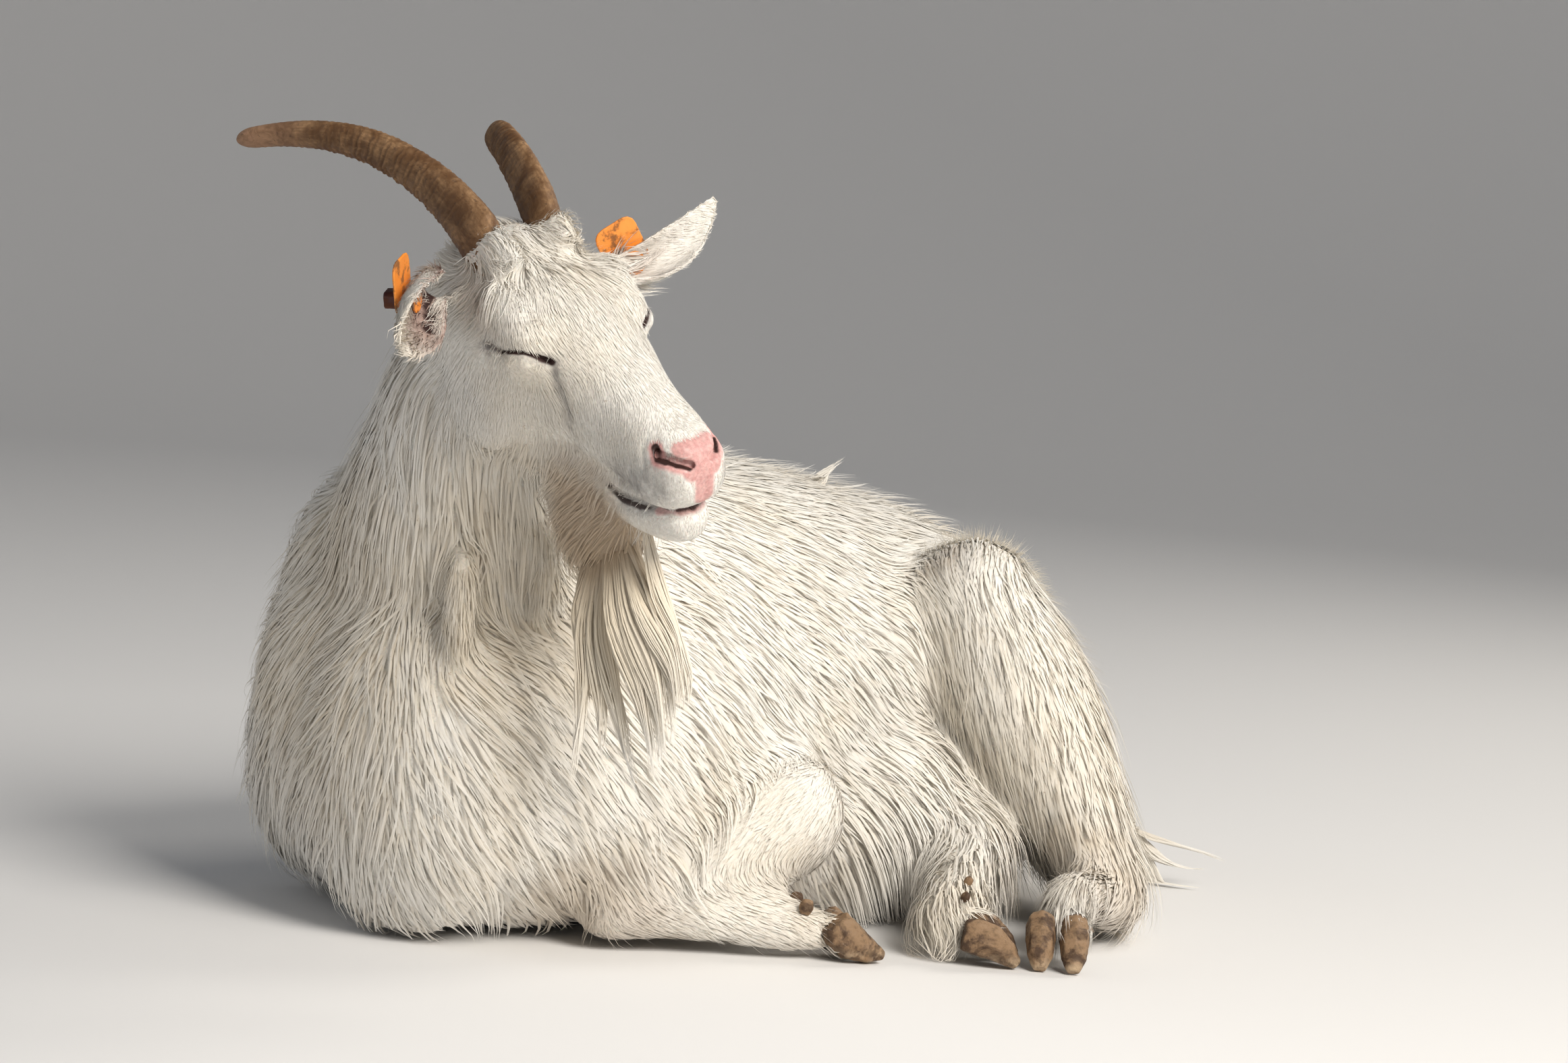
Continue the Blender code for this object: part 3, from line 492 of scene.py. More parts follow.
BROW_HOLLOW = ((0.0740, -0.0580, 0.0310), (0.0950, -0.0580, 0.0440), (0.1130, -0.0490, 0.0510))
BROW_TOP = ((0.0760, -0.0500, 0.0580), (0.0960, -0.0430, 0.0600), (0.1180, -0.0370, 0.0530))
LOWER_LID = (
    (0.0850, -0.0600, 0.0110), (0.1000, -0.0610, 0.0170), (0.1150, -0.0570, 0.0230), (0.1280, -0.0500, 0.0240),
)
LID_SWELL = ((0.0920, -0.0620, 0.0320), (0.1060, -0.0600, 0.0430), (0.1180, -0.0530, 0.0450))
TEAR_LINE = (
    (0.1350, -0.0450, 0.0310), (0.1410, -0.0440, 0.0190), (0.1500, -0.0420, 0.0050), (0.1530, -0.0400, -0.0080),
)
NOSTRIL_WING = ((0.2430, -0.0180, 0.0120), (0.2520, -0.0150, 0.0100), (0.2620, -0.0090, 0.0070))
NOSTRIL_SILL = ((0.2460, -0.0275, -0.0020), (0.2570, -0.0240, -0.0060), (0.2650, -0.0150, -0.0080))
WING_FOLD = ((0.2320, -0.0280, 0.0080), (0.2330, -0.0300, 0.0000), (0.2380, -0.0310, -0.0070))
UPPER_LIP = (
    (0.2050, -0.0300, -0.0440), (0.2300, -0.0320, -0.0380), (0.2520, -0.0260, -0.0350), (0.2660, -0.0100, -0.0310),
)
LOWER_LIP = ((0.2300, -0.0230, -0.0600), (0.2480, -0.0140, -0.0580), (0.2560, 0.0, -0.0560))
BRIDGE = ((0.1700, 0.0, 0.0420), (0.2000, 0.0, 0.0330), (0.2300, 0.0, 0.0230))
PHILTRUM = ((0.2700, 0.0, -0.0080), (0.2715, 0.0, -0.0180), (0.2705, 0.0, -0.0300))
CHEEK_LINE = ((0.1530, -0.0400, -0.0080), (0.1500, -0.0380, -0.0260), (0.1400, -0.0340, -0.0420))

# Each stroke: its line, its width, and how far it raises the skin
MODELLING = (
    (BRIDGE, 0.0170, -0.0042), (BROW_HOLLOW, 0.0060, -0.0022), (BROW_TOP, 0.0110, 0.0020),
    (LID_SWELL, 0.0050, 0.0010), (LOWER_LID, 0.0035, -0.0010), (TEAR_LINE, 0.0050, -0.0026),
    (CHEEK_LINE, 0.0080, -0.0018), (NOSTRIL_WING, 0.0045, 0.0016), (NOSTRIL_SILL, 0.0035, 0.0010),
    (WING_FOLD, 0.0022, -0.0013), (UPPER_LIP, 0.0050, 0.0012), (LOWER_LIP, 0.0050, 0.0012),
    (PHILTRUM, 0.0013, -0.0013),
)
CREASES = (
    (LASH_LINE, 0.0018, -0.0030), (MOUTH_LINE, 0.0023, -0.0042), (NOSTRIL_LINE[1:], 0.0028, -0.0050),
    (NOSTRIL_LINE, 0.0016, -0.0050),
)
for line, width, height in MODELLING:
    points = stroked(line, width, height)
points = relaxed(points, edges, 2, fine)
for line, width, height in CREASES:
    points = stroked(line, width, height)

# What the skin is at each point: pink pad, inside of an ear with painted shade, painted grey shade by the lid,
# tear groove and mouth, grey lip, painted near-black shade in the hollows, and bare of hair
PAD_LINES = (
    (NOSTRIL_LINE, 0.0050),
    (((0.2560, -0.0120, 0.0080), (0.2600, 0.0, 0.0085)), 0.0065),
    (((0.2660, -0.0080, -0.0030), (0.2680, 0.0, -0.0030)), 0.0095),
    (((0.2700, 0.0, -0.0080), (0.2710, 0.0, -0.0270)), 0.0075),
)
LIP_PINK = ((0.2440, -0.0190, -0.0500), (0.2560, -0.0080, -0.0490), (0.2590, 0.0, -0.0490))
LIP_GREY = ((0.2050, -0.0300, -0.0350), (0.2280, -0.0300, -0.0240), (0.2500, -0.0260, -0.0180))
EAR_REACH = 0.122
# how strong the painted shade inside each ear is, from near its root out toward its tip
EAR_SHADE = {"ear_right": (1.0, 0.85, 0.10), "ear_left": (0.35, 0.15, 0.05)}
# The hollows of the open ear, painted dark as shade, each with its radius
EAR_HOLES = (
    ((0.0240, -0.0765, 0.0420), 0.0060), ((0.0370, -0.0820, 0.0380), 0.0062),
    ((0.0460, -0.0890, 0.0370), 0.0050), ((0.0580, -0.0975, 0.0360), 0.0060),
)
HOLE_EDGE = 0.0030

owner = nearest_node(points)
normals = point_normals(points, faces)
spots = in_head(points - HEAD_PLACE)
skin_shape = shape_of(points, faces)


def near_line(line, radius, soft=0.0025):
    """1 within a radius of a line on either side of the face, falling to 0 just outside it."""
    gap = np.min([line_gap(spots, laid_on(side, skin_shape)) for side in both_sides(line)], axis=0)
    return np.clip((radius + soft - gap) / soft, 0, 1)


pink = np.max([near_line(line, radius) for line, radius in PAD_LINES], axis=0)
lip_pink = near_line(LIP_PINK, 0.0022)
# Painted shade in grey: a soft dark ring round the closed eye's slit, along the tear groove and along the mouth
# line; the patch on the upper lip is the skin's own grey
lid_shade = near_line(LASH_LINE, 0.0034, 0.0042) * 0.85
tear_shade = near_line(TEAR_LINE, 0.0020, 0.0050) * 0.6
lip_grey_and_crease_shade = np.maximum(
    near_line(LIP_GREY, 0.0060, 0.0180) * 0.65, near_line(MOUTH_LINE[1:], 0.0022, 0.0060) * 0.8
)
ear_hole_shade = np.max([
    np.clip((radius + HOLE_EDGE - np.linalg.norm(spots - spot, axis=1)) / HOLE_EDGE, 0, 1)
    for spot, radius in EAR_HOLES
], axis=0) * on("ear_right")
near_side = np.where(spots[:, 1] < 0.002, 1.0, 0.0)
# Painted shade, near black: inside the nostrils and the ear's hollows, in the closed eye's slit and along the
# mouth line
far_nostril_shade = near_line(NOSTRIL_LINE[1:4], 0.0014, 0.0010) * (1 - near_side)
hollow_shade = np.max([
    near_line(NOSTRIL_LINE[:3], 0.0030, 0.0012) * near_side,
    near_line(NOSTRIL_LINE[2:], 0.0022, 0.0010) * near_side, far_nostril_shade, ear_hole_shade,
    near_line(LASH_LINE[3:], 0.0031, 0.0014), near_line(LASH_LINE[:4], 0.0013, 0.0012) * 0.9,
    near_line(MOUTH_LINE, 0.0019, 0.0010) * 0.9,
], axis=0)
# The inside of each ear: its skin's colour, laid on more strongly toward the root of the cup as painted shade,
# more on the right ear than the left
inner_ear_and_shade = np.zeros(len(points))
for name, opening in EAR_OPENING.items():
    facing = normals @ (unit(np.array(opening)) @ HEAD_AXES)
    along_ear = (spots - EAR_ROOT[name]) @ unit(np.array(EAR_AXIS[name])) / EAR_REACH
    deep = np.interp(along_ear, (0.15, 0.45, 0.85), EAR_SHADE[name])
    inner_ear_and_shade = np.where(on(name), np.clip(facing * 3.0, 0, 1) * deep, inner_ear_and_shade)
# grey lip skin together with the painted shade by the eye, the tear groove and the mouth
grey = np.max([lid_shade, tear_shade, lip_grey_and_crease_shade], axis=0)
# tone: pink pad, inner ear with its painted shade, grey lip with painted shade by the eye and mouth, and in alpha
# 1 less the near-black painted shade of the hollows
tone = np.stack([
    np.clip(pink + lip_pink * 0.8, 0, 1), inner_ear_and_shade, np.clip(grey, 0, 1), 1.0 - hollow_shade,
], 1)
by_crease = near_line(LASH_LINE, 0.0029, 0.0014) + near_line(MOUTH_LINE, 0.0028, 0.0014)
bare = np.clip(pink * 1.3 + lip_pink + by_crease + ear_hole_shade, 0, 1)

skin_mesh = mesh_of("skin", points, faces)
paint_points(skin_mesh, "tone", tone)
placed("skin", skin_mesh, "coat", *FLESH)

# The colours of the hair and of the skin under it, and the painted shades laid over them
WHITE = (0.88, 0.85, 0.79, 1)
CREAM = (0.82, 0.72, 0.56, 1)
STAIN = (0.42, 0.29, 0.17, 1)
# warm brown painted shade for under the jaw
JAW_PAINTED_SHADE = (0.50, 0.36, 0.23, 1)
PINK = (0.62, 0.32, 0.30, 1)
PALE_PINK = (0.70, 0.42, 0.39, 1)
# dark inner-ear skin, also standing in for the shade deep in the ear's cup
EAR_SKIN_AND_SHADE = (0.22, 0.095, 0.065, 1)
# grey of the lip's skin, also used as painted shade by the eye, tear groove and mouth
GREY_SKIN_AND_SHADE = (0.21, 0.19, 0.19, 1)
# near-black painted shade for the nostrils, the ear's hollows, the eye slit and the mouth line
HOLLOW_SHADE = (0.030, 0.012, 0.010, 1)


def shader_group(name, inputs, outputs):
    """An empty shader group with its named sockets, and its two end nodes."""
    group = bpy.data.node_groups.new(name, "ShaderNodeTree")
    for label, kind, value in inputs:
        socket = group.interface.new_socket(label, in_out="INPUT", socket_type=kind)
        if value is not None:
            socket.default_value = value
    for label, kind in outputs:
        group.interface.new_socket(label, in_out="OUTPUT", socket_type=kind)
    return group, group.nodes.new("NodeGroupInput"), group.nodes.new("NodeGroupOutput")


def noise(tree, vector, scale, detail=3.0, rough=0.55, distort=0.0):
    """A cloudy value from 0 to 1."""
    node = tree.nodes.new("ShaderNodeTexNoise")
    node.inputs["Scale"].default_value = scale
    node.inputs["Detail"].default_value = detail
    node.inputs["Roughness"].default_value = rough
    node.inputs["Distortion"].default_value = distort
    tree.links.new(vector, node.inputs["Vector"])
    return node.outputs["Fac"]


def remap(tree, value, low, high, to_low=0.0, to_high=1.0, smooth=True):
    """A value's range from low to high brought to another range."""
    node = tree.nodes.new("ShaderNodeMapRange")
    node.interpolation_type = "SMOOTHSTEP" if smooth else "LINEAR"
    node.inputs["From Min"].default_value = low
    node.inputs["From Max"].default_value = high
    node.inputs["To Min"].default_value = to_low
    node.inputs["To Max"].default_value = to_high
    tree.links.new(value, node.inputs["Value"])
    return node.outputs["Result"]


def wire(tree, source, socket):
    """Links a socket, or sets a plain value."""
    if isinstance(source, bpy.types.NodeSocket):
        tree.links.new(source, socket)
    else:
        socket.default_value = source


def blended(tree, amount, first, second, blend="MIX"):
    """The second colour over the first by an amount."""
    node = tree.nodes.new("ShaderNodeMix")
    node.data_type = "RGBA"
    node.blend_type = blend
    wire(tree, amount, node.inputs[0])
    wire(tree, first, node.inputs[6])
    wire(tree, second, node.inputs[7])
    return node.outputs[2]


def maths(tree, operation, *values):
    """The result of one operation on plain values or sockets."""
    node = tree.nodes.new("ShaderNodeMath")
    node.operation = operation
    for value, socket in zip(values, node.inputs):
        wire(tree, value, socket)
    return node.outputs[0]


def object_place(tree):
    """Each point's place on the goat."""
    return tree.nodes.new("ShaderNodeTexCoord").outputs["Object"]


def roughened(tree, shader, height, strength, distance):
    """Fine relief on a material from a height."""
    node = tree.nodes.new("ShaderNodeBump")
    node.inputs["Strength"].default_value = strength
    node.inputs["Distance"].default_value = distance
    tree.links.new(height, node.inputs["Height"])
    tree.links.new(node.outputs["Normal"], shader.inputs["Normal"])


# A soft-edged spot at one place on the animal
spot, spot_in, spot_out = shader_group(
    "spot", [
        ("Vector", "NodeSocketVector", None), ("Centre", "NodeSocketVector", (0, 0, 0)),
        ("Radius", "NodeSocketFloat", 0.05), ("Ragged", "NodeSocketFloat", 0.02),
    ], [("Mask", "NodeSocketFloat")],
)
gap_node = spot.nodes.new("ShaderNodeVectorMath")
gap_node.operation = "DISTANCE"
spot.links.new(spot_in.outputs["Vector"], gap_node.inputs[0])
spot.links.new(spot_in.outputs["Centre"], gap_node.inputs[1])
ragged = maths(spot, "MULTIPLY", maths(
    spot, "SUBTRACT", noise(spot, spot_in.outputs["Vector"], 38.0, 4.0), 0.5
), spot_in.outputs["Ragged"])
gone = maths(spot, "DIVIDE", maths(spot, "ADD", gap_node.outputs["Value"], ragged), spot_in.outputs["Radius"])
spot.links.new(remap(spot, gone, 1.0, 0.35), spot_out.inputs["Mask"])

# The coat's own colour: white, drifting to cream, with stains where the goat has lain and rubbed, and a painted
# shade of warm brown under the jaw
COAT_SPOTS = (
    ((0.1000, 0.1320, 0.3140), 0.036, 0.05, 0.26, STAIN),
    ((0.2600, 0.1500, 0.0300), 0.110, 0.09, 0.30, STAIN),
    ((0.0400, -0.2400, 0.0150), 0.090, 0.07, 0.32, STAIN),
    ((0.1000, -0.0600, 0.0100), 0.120, 0.07, 0.25, STAIN),
    ((0.0300, -0.3750, 0.2900), 0.130, 0.09, 0.55, CREAM),
    ((0.1200, -0.3600, 0.2700), 0.110, 0.05, 0.70, CREAM),
    # painted shade under the jaw, in warm brown
    ((0.0850, -0.3650, 0.3500), 0.075, 0.03, 0.75, JAW_PAINTED_SHADE),
    ((-0.1500, -0.3500, 0.2200), 0.190, 0.12, 0.40, CREAM),
    ((0.2000, 0.2200, 0.1600), 0.160, 0.12, 0.35, CREAM),
    ((0.0000, 0.3900, 0.1500), 0.200, 0.12, 0.55, CREAM),
    ((-0.2400, 0.1000, 0.0600), 0.260, 0.12, 0.45, CREAM),
)
coat_colour, coat_in, coat_out = shader_group(
    "coat_colour", [("Vector", "NodeSocketVector", None), ("Tone", "NodeSocketColor", (0, 0, 0, 1))],
    [("Colour", "NodeSocketColor"), ("Bare", "NodeSocketFloat")],
)
place = coat_in.outputs["Vector"]
drift = remap(coat_colour, noise(coat_colour, place, 7.0, 4.0), 0.42, 0.74, 0.0, 0.42)
colour = blended(coat_colour, drift, WHITE, CREAM)
for centre, radius, rag, strength, paint in COAT_SPOTS:
    node = coat_colour.nodes.new("ShaderNodeGroup")
    node.node_tree = spot
    node.inputs["Centre"].default_value = centre
    node.inputs["Radius"].default_value = radius
    node.inputs["Ragged"].default_value = rag
    coat_colour.links.new(place, node.inputs["Vector"])
    colour = blended(coat_colour, maths(coat_colour, "MULTIPLY", node.outputs["Mask"], strength), colour, paint)
specks = remap(coat_colour, noise(coat_colour, place, 190.0, 2.0), 0.70, 0.76, 0.0, 0.5)
colour = blended(coat_colour, specks, colour, STAIN)
parts = coat_colour.nodes.new("ShaderNodeSeparateColor")
coat_colour.links.new(coat_in.outputs["Tone"], parts.inputs["Color"])
# grey lip skin, and painted shade by the eye, the tear groove and the mouth line
grey_skin_and_shade_amount = maths(coat_colour, "MULTIPLY", parts.outputs["Blue"], remap(
    coat_colour, noise(coat_colour, place, 85.0, 3.0), 0.30, 0.70, 0.45, 1.0
))
colour = blended(coat_colour, grey_skin_and_shade_amount, colour, GREY_SKIN_AND_SHADE)
# inner ear skin with its painted shade toward the root
ear_skin_and_shade_amount = maths(coat_colour, "MULTIPLY", parts.outputs["Green"], 0.85)
colour = blended(coat_colour, ear_skin_and_shade_amount, colour, EAR_SKIN_AND_SHADE)
pad_grain = remap(coat_colour, noise(coat_colour, place, 240.0, 3.0), 0.3, 0.7)
pad = blended(coat_colour, pad_grain, PINK, PALE_PINK)
colour = blended(coat_colour, parts.outputs["Red"], colour, pad)
coat_colour.links.new(colour, coat_out.inputs["Colour"])
coat_colour.links.new(parts.outputs["Red"], coat_out.inputs["Bare"])


def coat_colour_in(tree):
    """The coat's colour at this place, for a material of the skin or of the hair."""
    place = object_place(tree)
    attribute = tree.nodes.new("ShaderNodeVertexColor")
    attribute.layer_name = "tone"
    node = tree.nodes.new("ShaderNodeGroup")
    node.node_tree = coat_colour
    tree.links.new(place, node.inputs["Vector"])
    tree.links.new(attribute.outputs["Color"], node.inputs["Tone"])
    # the tone's alpha is 1 less the painted shade of the hollows
    return place, attribute.outputs["Alpha"], node


hide_material, hide_shader = new_material("goat_skin", WHITE, 0.72, 0.35)
tree = hide_material.node_tree
place, outside_hollow_shade, coat_node = coat_colour_in(tree)
fuzz = remap(tree, noise(tree, place, 420.0, 3.0, 0.6), 0.3, 0.7, 0.78, 1.0)
under = blended(tree, 1.0, coat_node.outputs["Colour"], fuzz, "MULTIPLY")
# the skin is painted near black as shade in the nostrils, ear hollows, eye slit and mouth line
tree.links.new(blended(tree, outside_hollow_shade, HOLLOW_SHADE, under), hide_shader.inputs["Base Color"])
tree.links.new(remap(tree, coat_node.outputs["Bare"], 0.0, 1.0, 0.80, 0.42), hide_shader.inputs["Roughness"])
hide_shader.inputs["Subsurface Weight"].default_value = 0.12
hide_shader.inputs["Subsurface Radius"].default_value = (0.004, 0.0016, 0.0010)
hide_shader.inputs["Subsurface Scale"].default_value = 1.0
roughened(tree, hide_shader, noise(tree, place, 900.0, 3.0, 0.6), 0.35, 0.0006)
skin_mesh.materials.append(hide_material)


# ==== Coat: white hair in tufts, combed over the skin, short on the face and feet and long on the body ====
# Each tuft is a thin closed blade with a ridge. It starts in the skin, follows the lie of the hair over the
# body's curves, and stands off it by the depth of the coat at its tip.

UNWRAP_FACES = 24000
TUFT_PATCH = 0.003
ROOT_SUNK = 0.0012
BLADE_RIDGE = 0.08
BLADE_SOFTNESS = 0.86
BODY_LIE = (0.0, 0.75, -0.62)
NECK_LIE = (-0.10, 0.35, -0.95)
LIE_REACH = 0.022
rng = np.random.default_rng(20)

unwrap = added("unwrap", mesh_of("unwrap", points, faces))
thin = unwrap.modifiers.new("thin", "DECIMATE")
thin.ratio = UNWRAP_FACES / len(faces)
unwrap = added("unwrap", evaluated(unwrap))
bpy.context.view_layer.objects.active = unwrap
unwrap.select_set(True)
bpy.ops.object.mode_set(mode="EDIT")
bpy.ops.mesh.select_all(action="SELECT")
bpy.ops.uv.smart_project(angle_limit=math.radians(66), island_margin=0.002)
bpy.ops.object.mode_set(mode="OBJECT")
flat_points, flat_faces = read_mesh(unwrap.data)
flat_uv = np.empty(len(unwrap.data.loops) * 2, np.float32)
unwrap.data.uv_layers.active.data.foreach_get("uv", flat_uv)
flat_uv = flat_uv.reshape(-1, 3, 2)
flat_shape = shape_of(flat_points, flat_faces)
bpy.data.objects.remove(unwrap)

# The lines down the middle of each limb and of the tail, from the body out
LIMB_LINES = {
    "fore_leg_left": (
        (0.0929, -0.0796, 0.105), (0.0349, -0.2306, 0.032), (0.1329, -0.1286, 0.024), (0.1919, -0.0646, 0.020),
    ),
    "fore_leg_right": (
        (-0.2321, -0.1546, 0.130), (-0.1671, -0.2746, 0.032), (-0.2201, -0.1286, 0.024), (-0.2561, -0.0606, 0.020),
    ),
    "hind_leg_left": (
        (0.0029, 0.3254, 0.260), (0.1149, 0.1704, 0.290), (0.2529, 0.2154, 0.034), (0.2749, 0.0974, 0.050),
        (0.2879, 0.0654, 0.036),
    ),
    "hind_leg_right": (
        (-0.0921, 0.3054, 0.120), (0.0179, 0.1154, 0.110), (0.1629, 0.1254, 0.072), (0.2139, 0.0034, 0.028),
        (0.2319, -0.0086, 0.021),
    ),
    "tail": ((-0.0521, 0.4304, 0.185), (0.0300, 0.5200, 0.130), (0.1229, 0.5004, 0.042)),
}
# How hair lies on the right side of the head: a place and a heading, both from the head's own axes
HEAD_LIE = (
    ((0.000, 0.000, 0.065), (-1.0, 0.0, 0.1)), ((0.045, 0.000, 0.080), (1.0, -0.15, 0.0)),
    ((0.085, 0.000, 0.066), (1.0, -0.25, -0.2)), ((0.085, -0.030, 0.062), (0.9, -0.6, -0.2)),
    ((0.100, -0.052, 0.048), (0.3, -0.5, -0.8)), ((0.125, -0.040, 0.050), (0.8, 0.3, -0.5)),
    ((0.140, 0.000, 0.052), (1.0, 0.0, -0.35)), ((0.145, -0.034, 0.036), (0.9, 0.25, -0.4)),
    ((0.185, 0.000, 0.034), (0.9, -0.3, -0.3)), ((0.180, -0.034, 0.010), (0.5, -0.2, -0.9)),
    ((0.100, -0.062, 0.010), (-0.15, 0.0, -1.0)), ((0.060, -0.060, 0.030), (-0.6, -0.1, -0.8)),
    ((0.030, -0.060, 0.000), (-0.5, 0.0, -0.9)), ((0.070, -0.060, -0.050), (-0.1, 0.0, -1.0)),
    ((0.130, -0.040, -0.030), (0.05, 0.0, -1.0)), ((0.185, -0.035, -0.020), (0.1, 0.0, -1.0)),
    ((0.220, -0.012, 0.024), (0.5, -0.7, -0.2)), ((0.235, -0.030, -0.010), (0.3, -0.1, -1.0)),
    ((0.255, -0.026, -0.025), (0.3, 0.1, -0.9)), ((0.245, 0.000, -0.070), (-0.4, 0.0, -0.9)),
    ((0.150, -0.020, -0.090), (-0.5, 0.0, -0.7)), ((0.060, -0.030, -0.100), (-0.7, 0.0, -0.7)),
)


def flattened(headings, normals):
    """Headings with the part that leaves the skin taken out."""
    return unit(headings - normals * (headings * normals).sum(-1, keepdims=True))


owner = nearest_node(points)
lie = np.zeros_like(points)
lie[:] = BODY_LIE
lie[on("neck")] = NECK_LIE
lie[on("wattle_left", "wattle_right")] = (0, 0, -1)
for name, line in LIMB_LINES.items():
    part = np.nonzero(on(name))[0]
    nearest = np.full(len(part), 9.0)
    line = np.array(line)
    for start, end in zip(line, line[1:]):
        along = np.clip(((points[part] - start) @ (end - start)) / ((end - start) @ (end - start)), 0, 1)
        gap = np.linalg.norm(points[part] - start - along[:, None] * (end - start), axis=1)
        closer = gap < nearest
        nearest[closer] = gap[closer]
        lie[part[closer]] = unit(end - start) + (0, 0, -0.35)
for name, axis in EAR_AXIS.items():
    lie[on(name)] = np.array(axis) @ HEAD_AXES
spots = in_head(points - HEAD_PLACE)
on_head = on("head", "eyelid_left", "eyelid_right")
blend_sum = np.zeros((len(points), 3))
for spot_place, heading in HEAD_LIE:
    for mirror in ((1, 1, 1), (1, -1, 1)):
        gap = np.linalg.norm(spots - np.array(spot_place) * mirror, axis=1)
        blend_sum += np.exp(-((gap / LIE_REACH) ** 2))[:, None] * np.array(heading) * mirror
        blend_sum += 1e-5 / (gap + 0.01)[:, None] * np.array(heading) * mirror
lie[on_head] = (blend_sum @ HEAD_AXES)[on_head]
lie = relaxed(unit(lie), edges, 22)
lie = flattened(lie, normals)

# Length, breadth, standing height and closeness of the tufts, by part
HAIR_LENGTH = {
    "trunk": 0.040, "neck": 0.042, "head": 0.0145, "tail": 0.060, "fore_leg_left": 0.019, "fore_leg_right": 0.020,
    "hind_leg_left": 0.034, "hind_leg_right": 0.026, "ear_left": 0.015, "ear_right": 0.014, "wattle_left": 0.018,
    "wattle_right": 0.018, "eyelid_left": 0.008, "eyelid_right": 0.008,
}
TUFT_BREADTH = {
    "trunk": 0.0028, "neck": 0.0024, "head": 0.00085, "tail": 0.0032, "fore_leg_left": 0.0020,
    "fore_leg_right": 0.0020, "hind_leg_left": 0.0025, "hind_leg_right": 0.0022, "ear_left": 0.0008,
    "ear_right": 0.0008, "wattle_left": 0.0018, "wattle_right": 0.0018, "eyelid_left": 0.0008,
    "eyelid_right": 0.0008,
}
CLOSENESS = {
    "trunk": 1.0, "neck": 1.15, "head": 5.0, "tail": 1.0, "fore_leg_left": 2.4, "fore_leg_right": 1.6,
    "hind_leg_left": 1.3, "hind_leg_right": 1.8, "ear_left": 6.5, "ear_right": 5.5, "wattle_left": 2.6,
    "wattle_right": 2.6, "eyelid_left": 6.0, "eyelid_right": 6.0,
}
muzzle_fade = np.where(on_head, np.interp(spots[:, 0], (0.02, 0.07, 0.15, 0.235), (1.9, 1.1, 0.95, 0.42)), 1.0)
lash_near = 1 - 0.68 * near_line(LASH_LINE, 0.0030, 0.0080)
mouth_near = 1 - 0.60 * near_line(MOUTH_LINE, 0.0030, 0.0060)
pad_near = 1 - 0.45 * np.max([near_line(line, radius, 0.008) for line, radius in PAD_LINES], axis=0)
muzzle_fade = muzzle_fade * lash_near * mouth_near * pad_near
throat = np.where(on_head, np.interp(spots[:, 2], (-0.11, -0.05), (1.9, 1.0)), 1.0)
feet_fade = np.ones(len(points))
for name in ("fore_leg_left", "fore_leg_right", "hind_leg_left", "hind_leg_right"):
    toe = np.array(LIMB_LINES[name][-1])
    near_toe = np.interp(np.linalg.norm(points - toe, axis=1), (0.02, 0.10), (0.55, 1.0))
    feet_fade = np.where(on(name), near_toe, feet_fade)
hair_length = relaxed(by_node(HAIR_LENGTH) * muzzle_fade * throat * feet_fade, edges, 16)
breadth = relaxed(by_node(TUFT_BREADTH) * np.sqrt(muzzle_fade * feet_fade).clip(0.7, 1.2), edges, 16)
stand_share = np.where(on_head, muzzle_fade.clip(0, 1) * 0.6, 0.85)
stand = relaxed(by_node(COAT_DEPTH) * stand_share * feet_fade, edges, 16)
closeness = by_node(CLOSENESS) / np.sqrt(muzzle_fade * feet_fade)
closeness *= 1 - inner_ear_and_shade * 0.45
closeness *= np.where(bare > 0.45, 0.0, 1.0)
closeness *= np.where(points[:, 2] < 0.012, 0.05, 1.0) * np.where(normals[:, 2] < -0.75, 0.45, 1.0)


def scatter(count, chosen):
    """Roots spread over the chosen faces: which face each is on, and its place within it."""
    corner = points[faces]
    area = np.linalg.norm(np.cross(corner[:, 1] - corner[:, 0], corner[:, 2] - corner[:, 0]), axis=1)
    weight = area * closeness[faces].mean(1) * chosen
    pick = rng.choice(len(faces), count, p=weight / weight.sum())
    spread = rng.random((count, 2))
    flip = spread.sum(1) > 1
    spread[flip] = 1 - spread[flip]
    return pick, np.stack([1 - spread.sum(1), spread[:, 0], spread[:, 1]], 1)


def carried(values, pick, share):
    """Point values at places within faces."""
    return np.einsum("nk,nk...->n...", share, values[faces[pick]])


def wave(places, size, seed):
    """Smooth noise from -1 to 1 whose bumps are about a given size."""
    mix = np.random.default_rng(seed)
    total = np.zeros(len(places))
    for _ in range(7):
        heading = unit(mix.normal(size=3))
        total += np.sin(places @ heading * math.tau / (size * mix.uniform(1.2, 2.6)) + mix.uniform(0, math.tau))
    return total / 3.2


def turned(headings, normals, angles):
    """Headings turned about the skin's normals."""
    return unit(headings * np.cos(angles)[:, None] + np.cross(normals, headings) * np.sin(angles)[:, None])


def combed(root, normal, heading, length, height, rings):
    """The points down the middle of each tuft, led over the skin, and which way is up at each."""
    spine, ups = [root - normal * ROOT_SUNK], [normal]
    here = root
    for ring in range(1, rings + 1):
        here, up, face, _ = touched(skin_shape, here + heading * (length / rings)[:, None])
        heading = flattened(heading * 0.55 + lie[faces[face, 0]] * 0.45, up)
        spine.append(here + up * (height * (ring / rings) ** 0.8)[:, None])
        ups.append(unit(up + normal))
    return np.stack(spine, 1), np.stack(ups, 1)


def clumped(spine, root, clump, hold):
    """Draws the tips of each group of neighbouring tufts towards one of them."""
    leaders = np.arange(0, len(root), clump)
    tree = KDTree(len(leaders))
    for index, place in enumerate(root[leaders].tolist()):
        tree.insert(place, index)
    tree.balance()
    leader = leaders[[tree.find(place)[1] for place in root.tolist()]]
    rings = spine.shape[1] - 1
    for ring in range(1, rings + 1):
        spine[:, ring] += (spine[leader, ring] - spine[:, ring]) * (hold * (ring / rings) ** 1.5)
    return spine


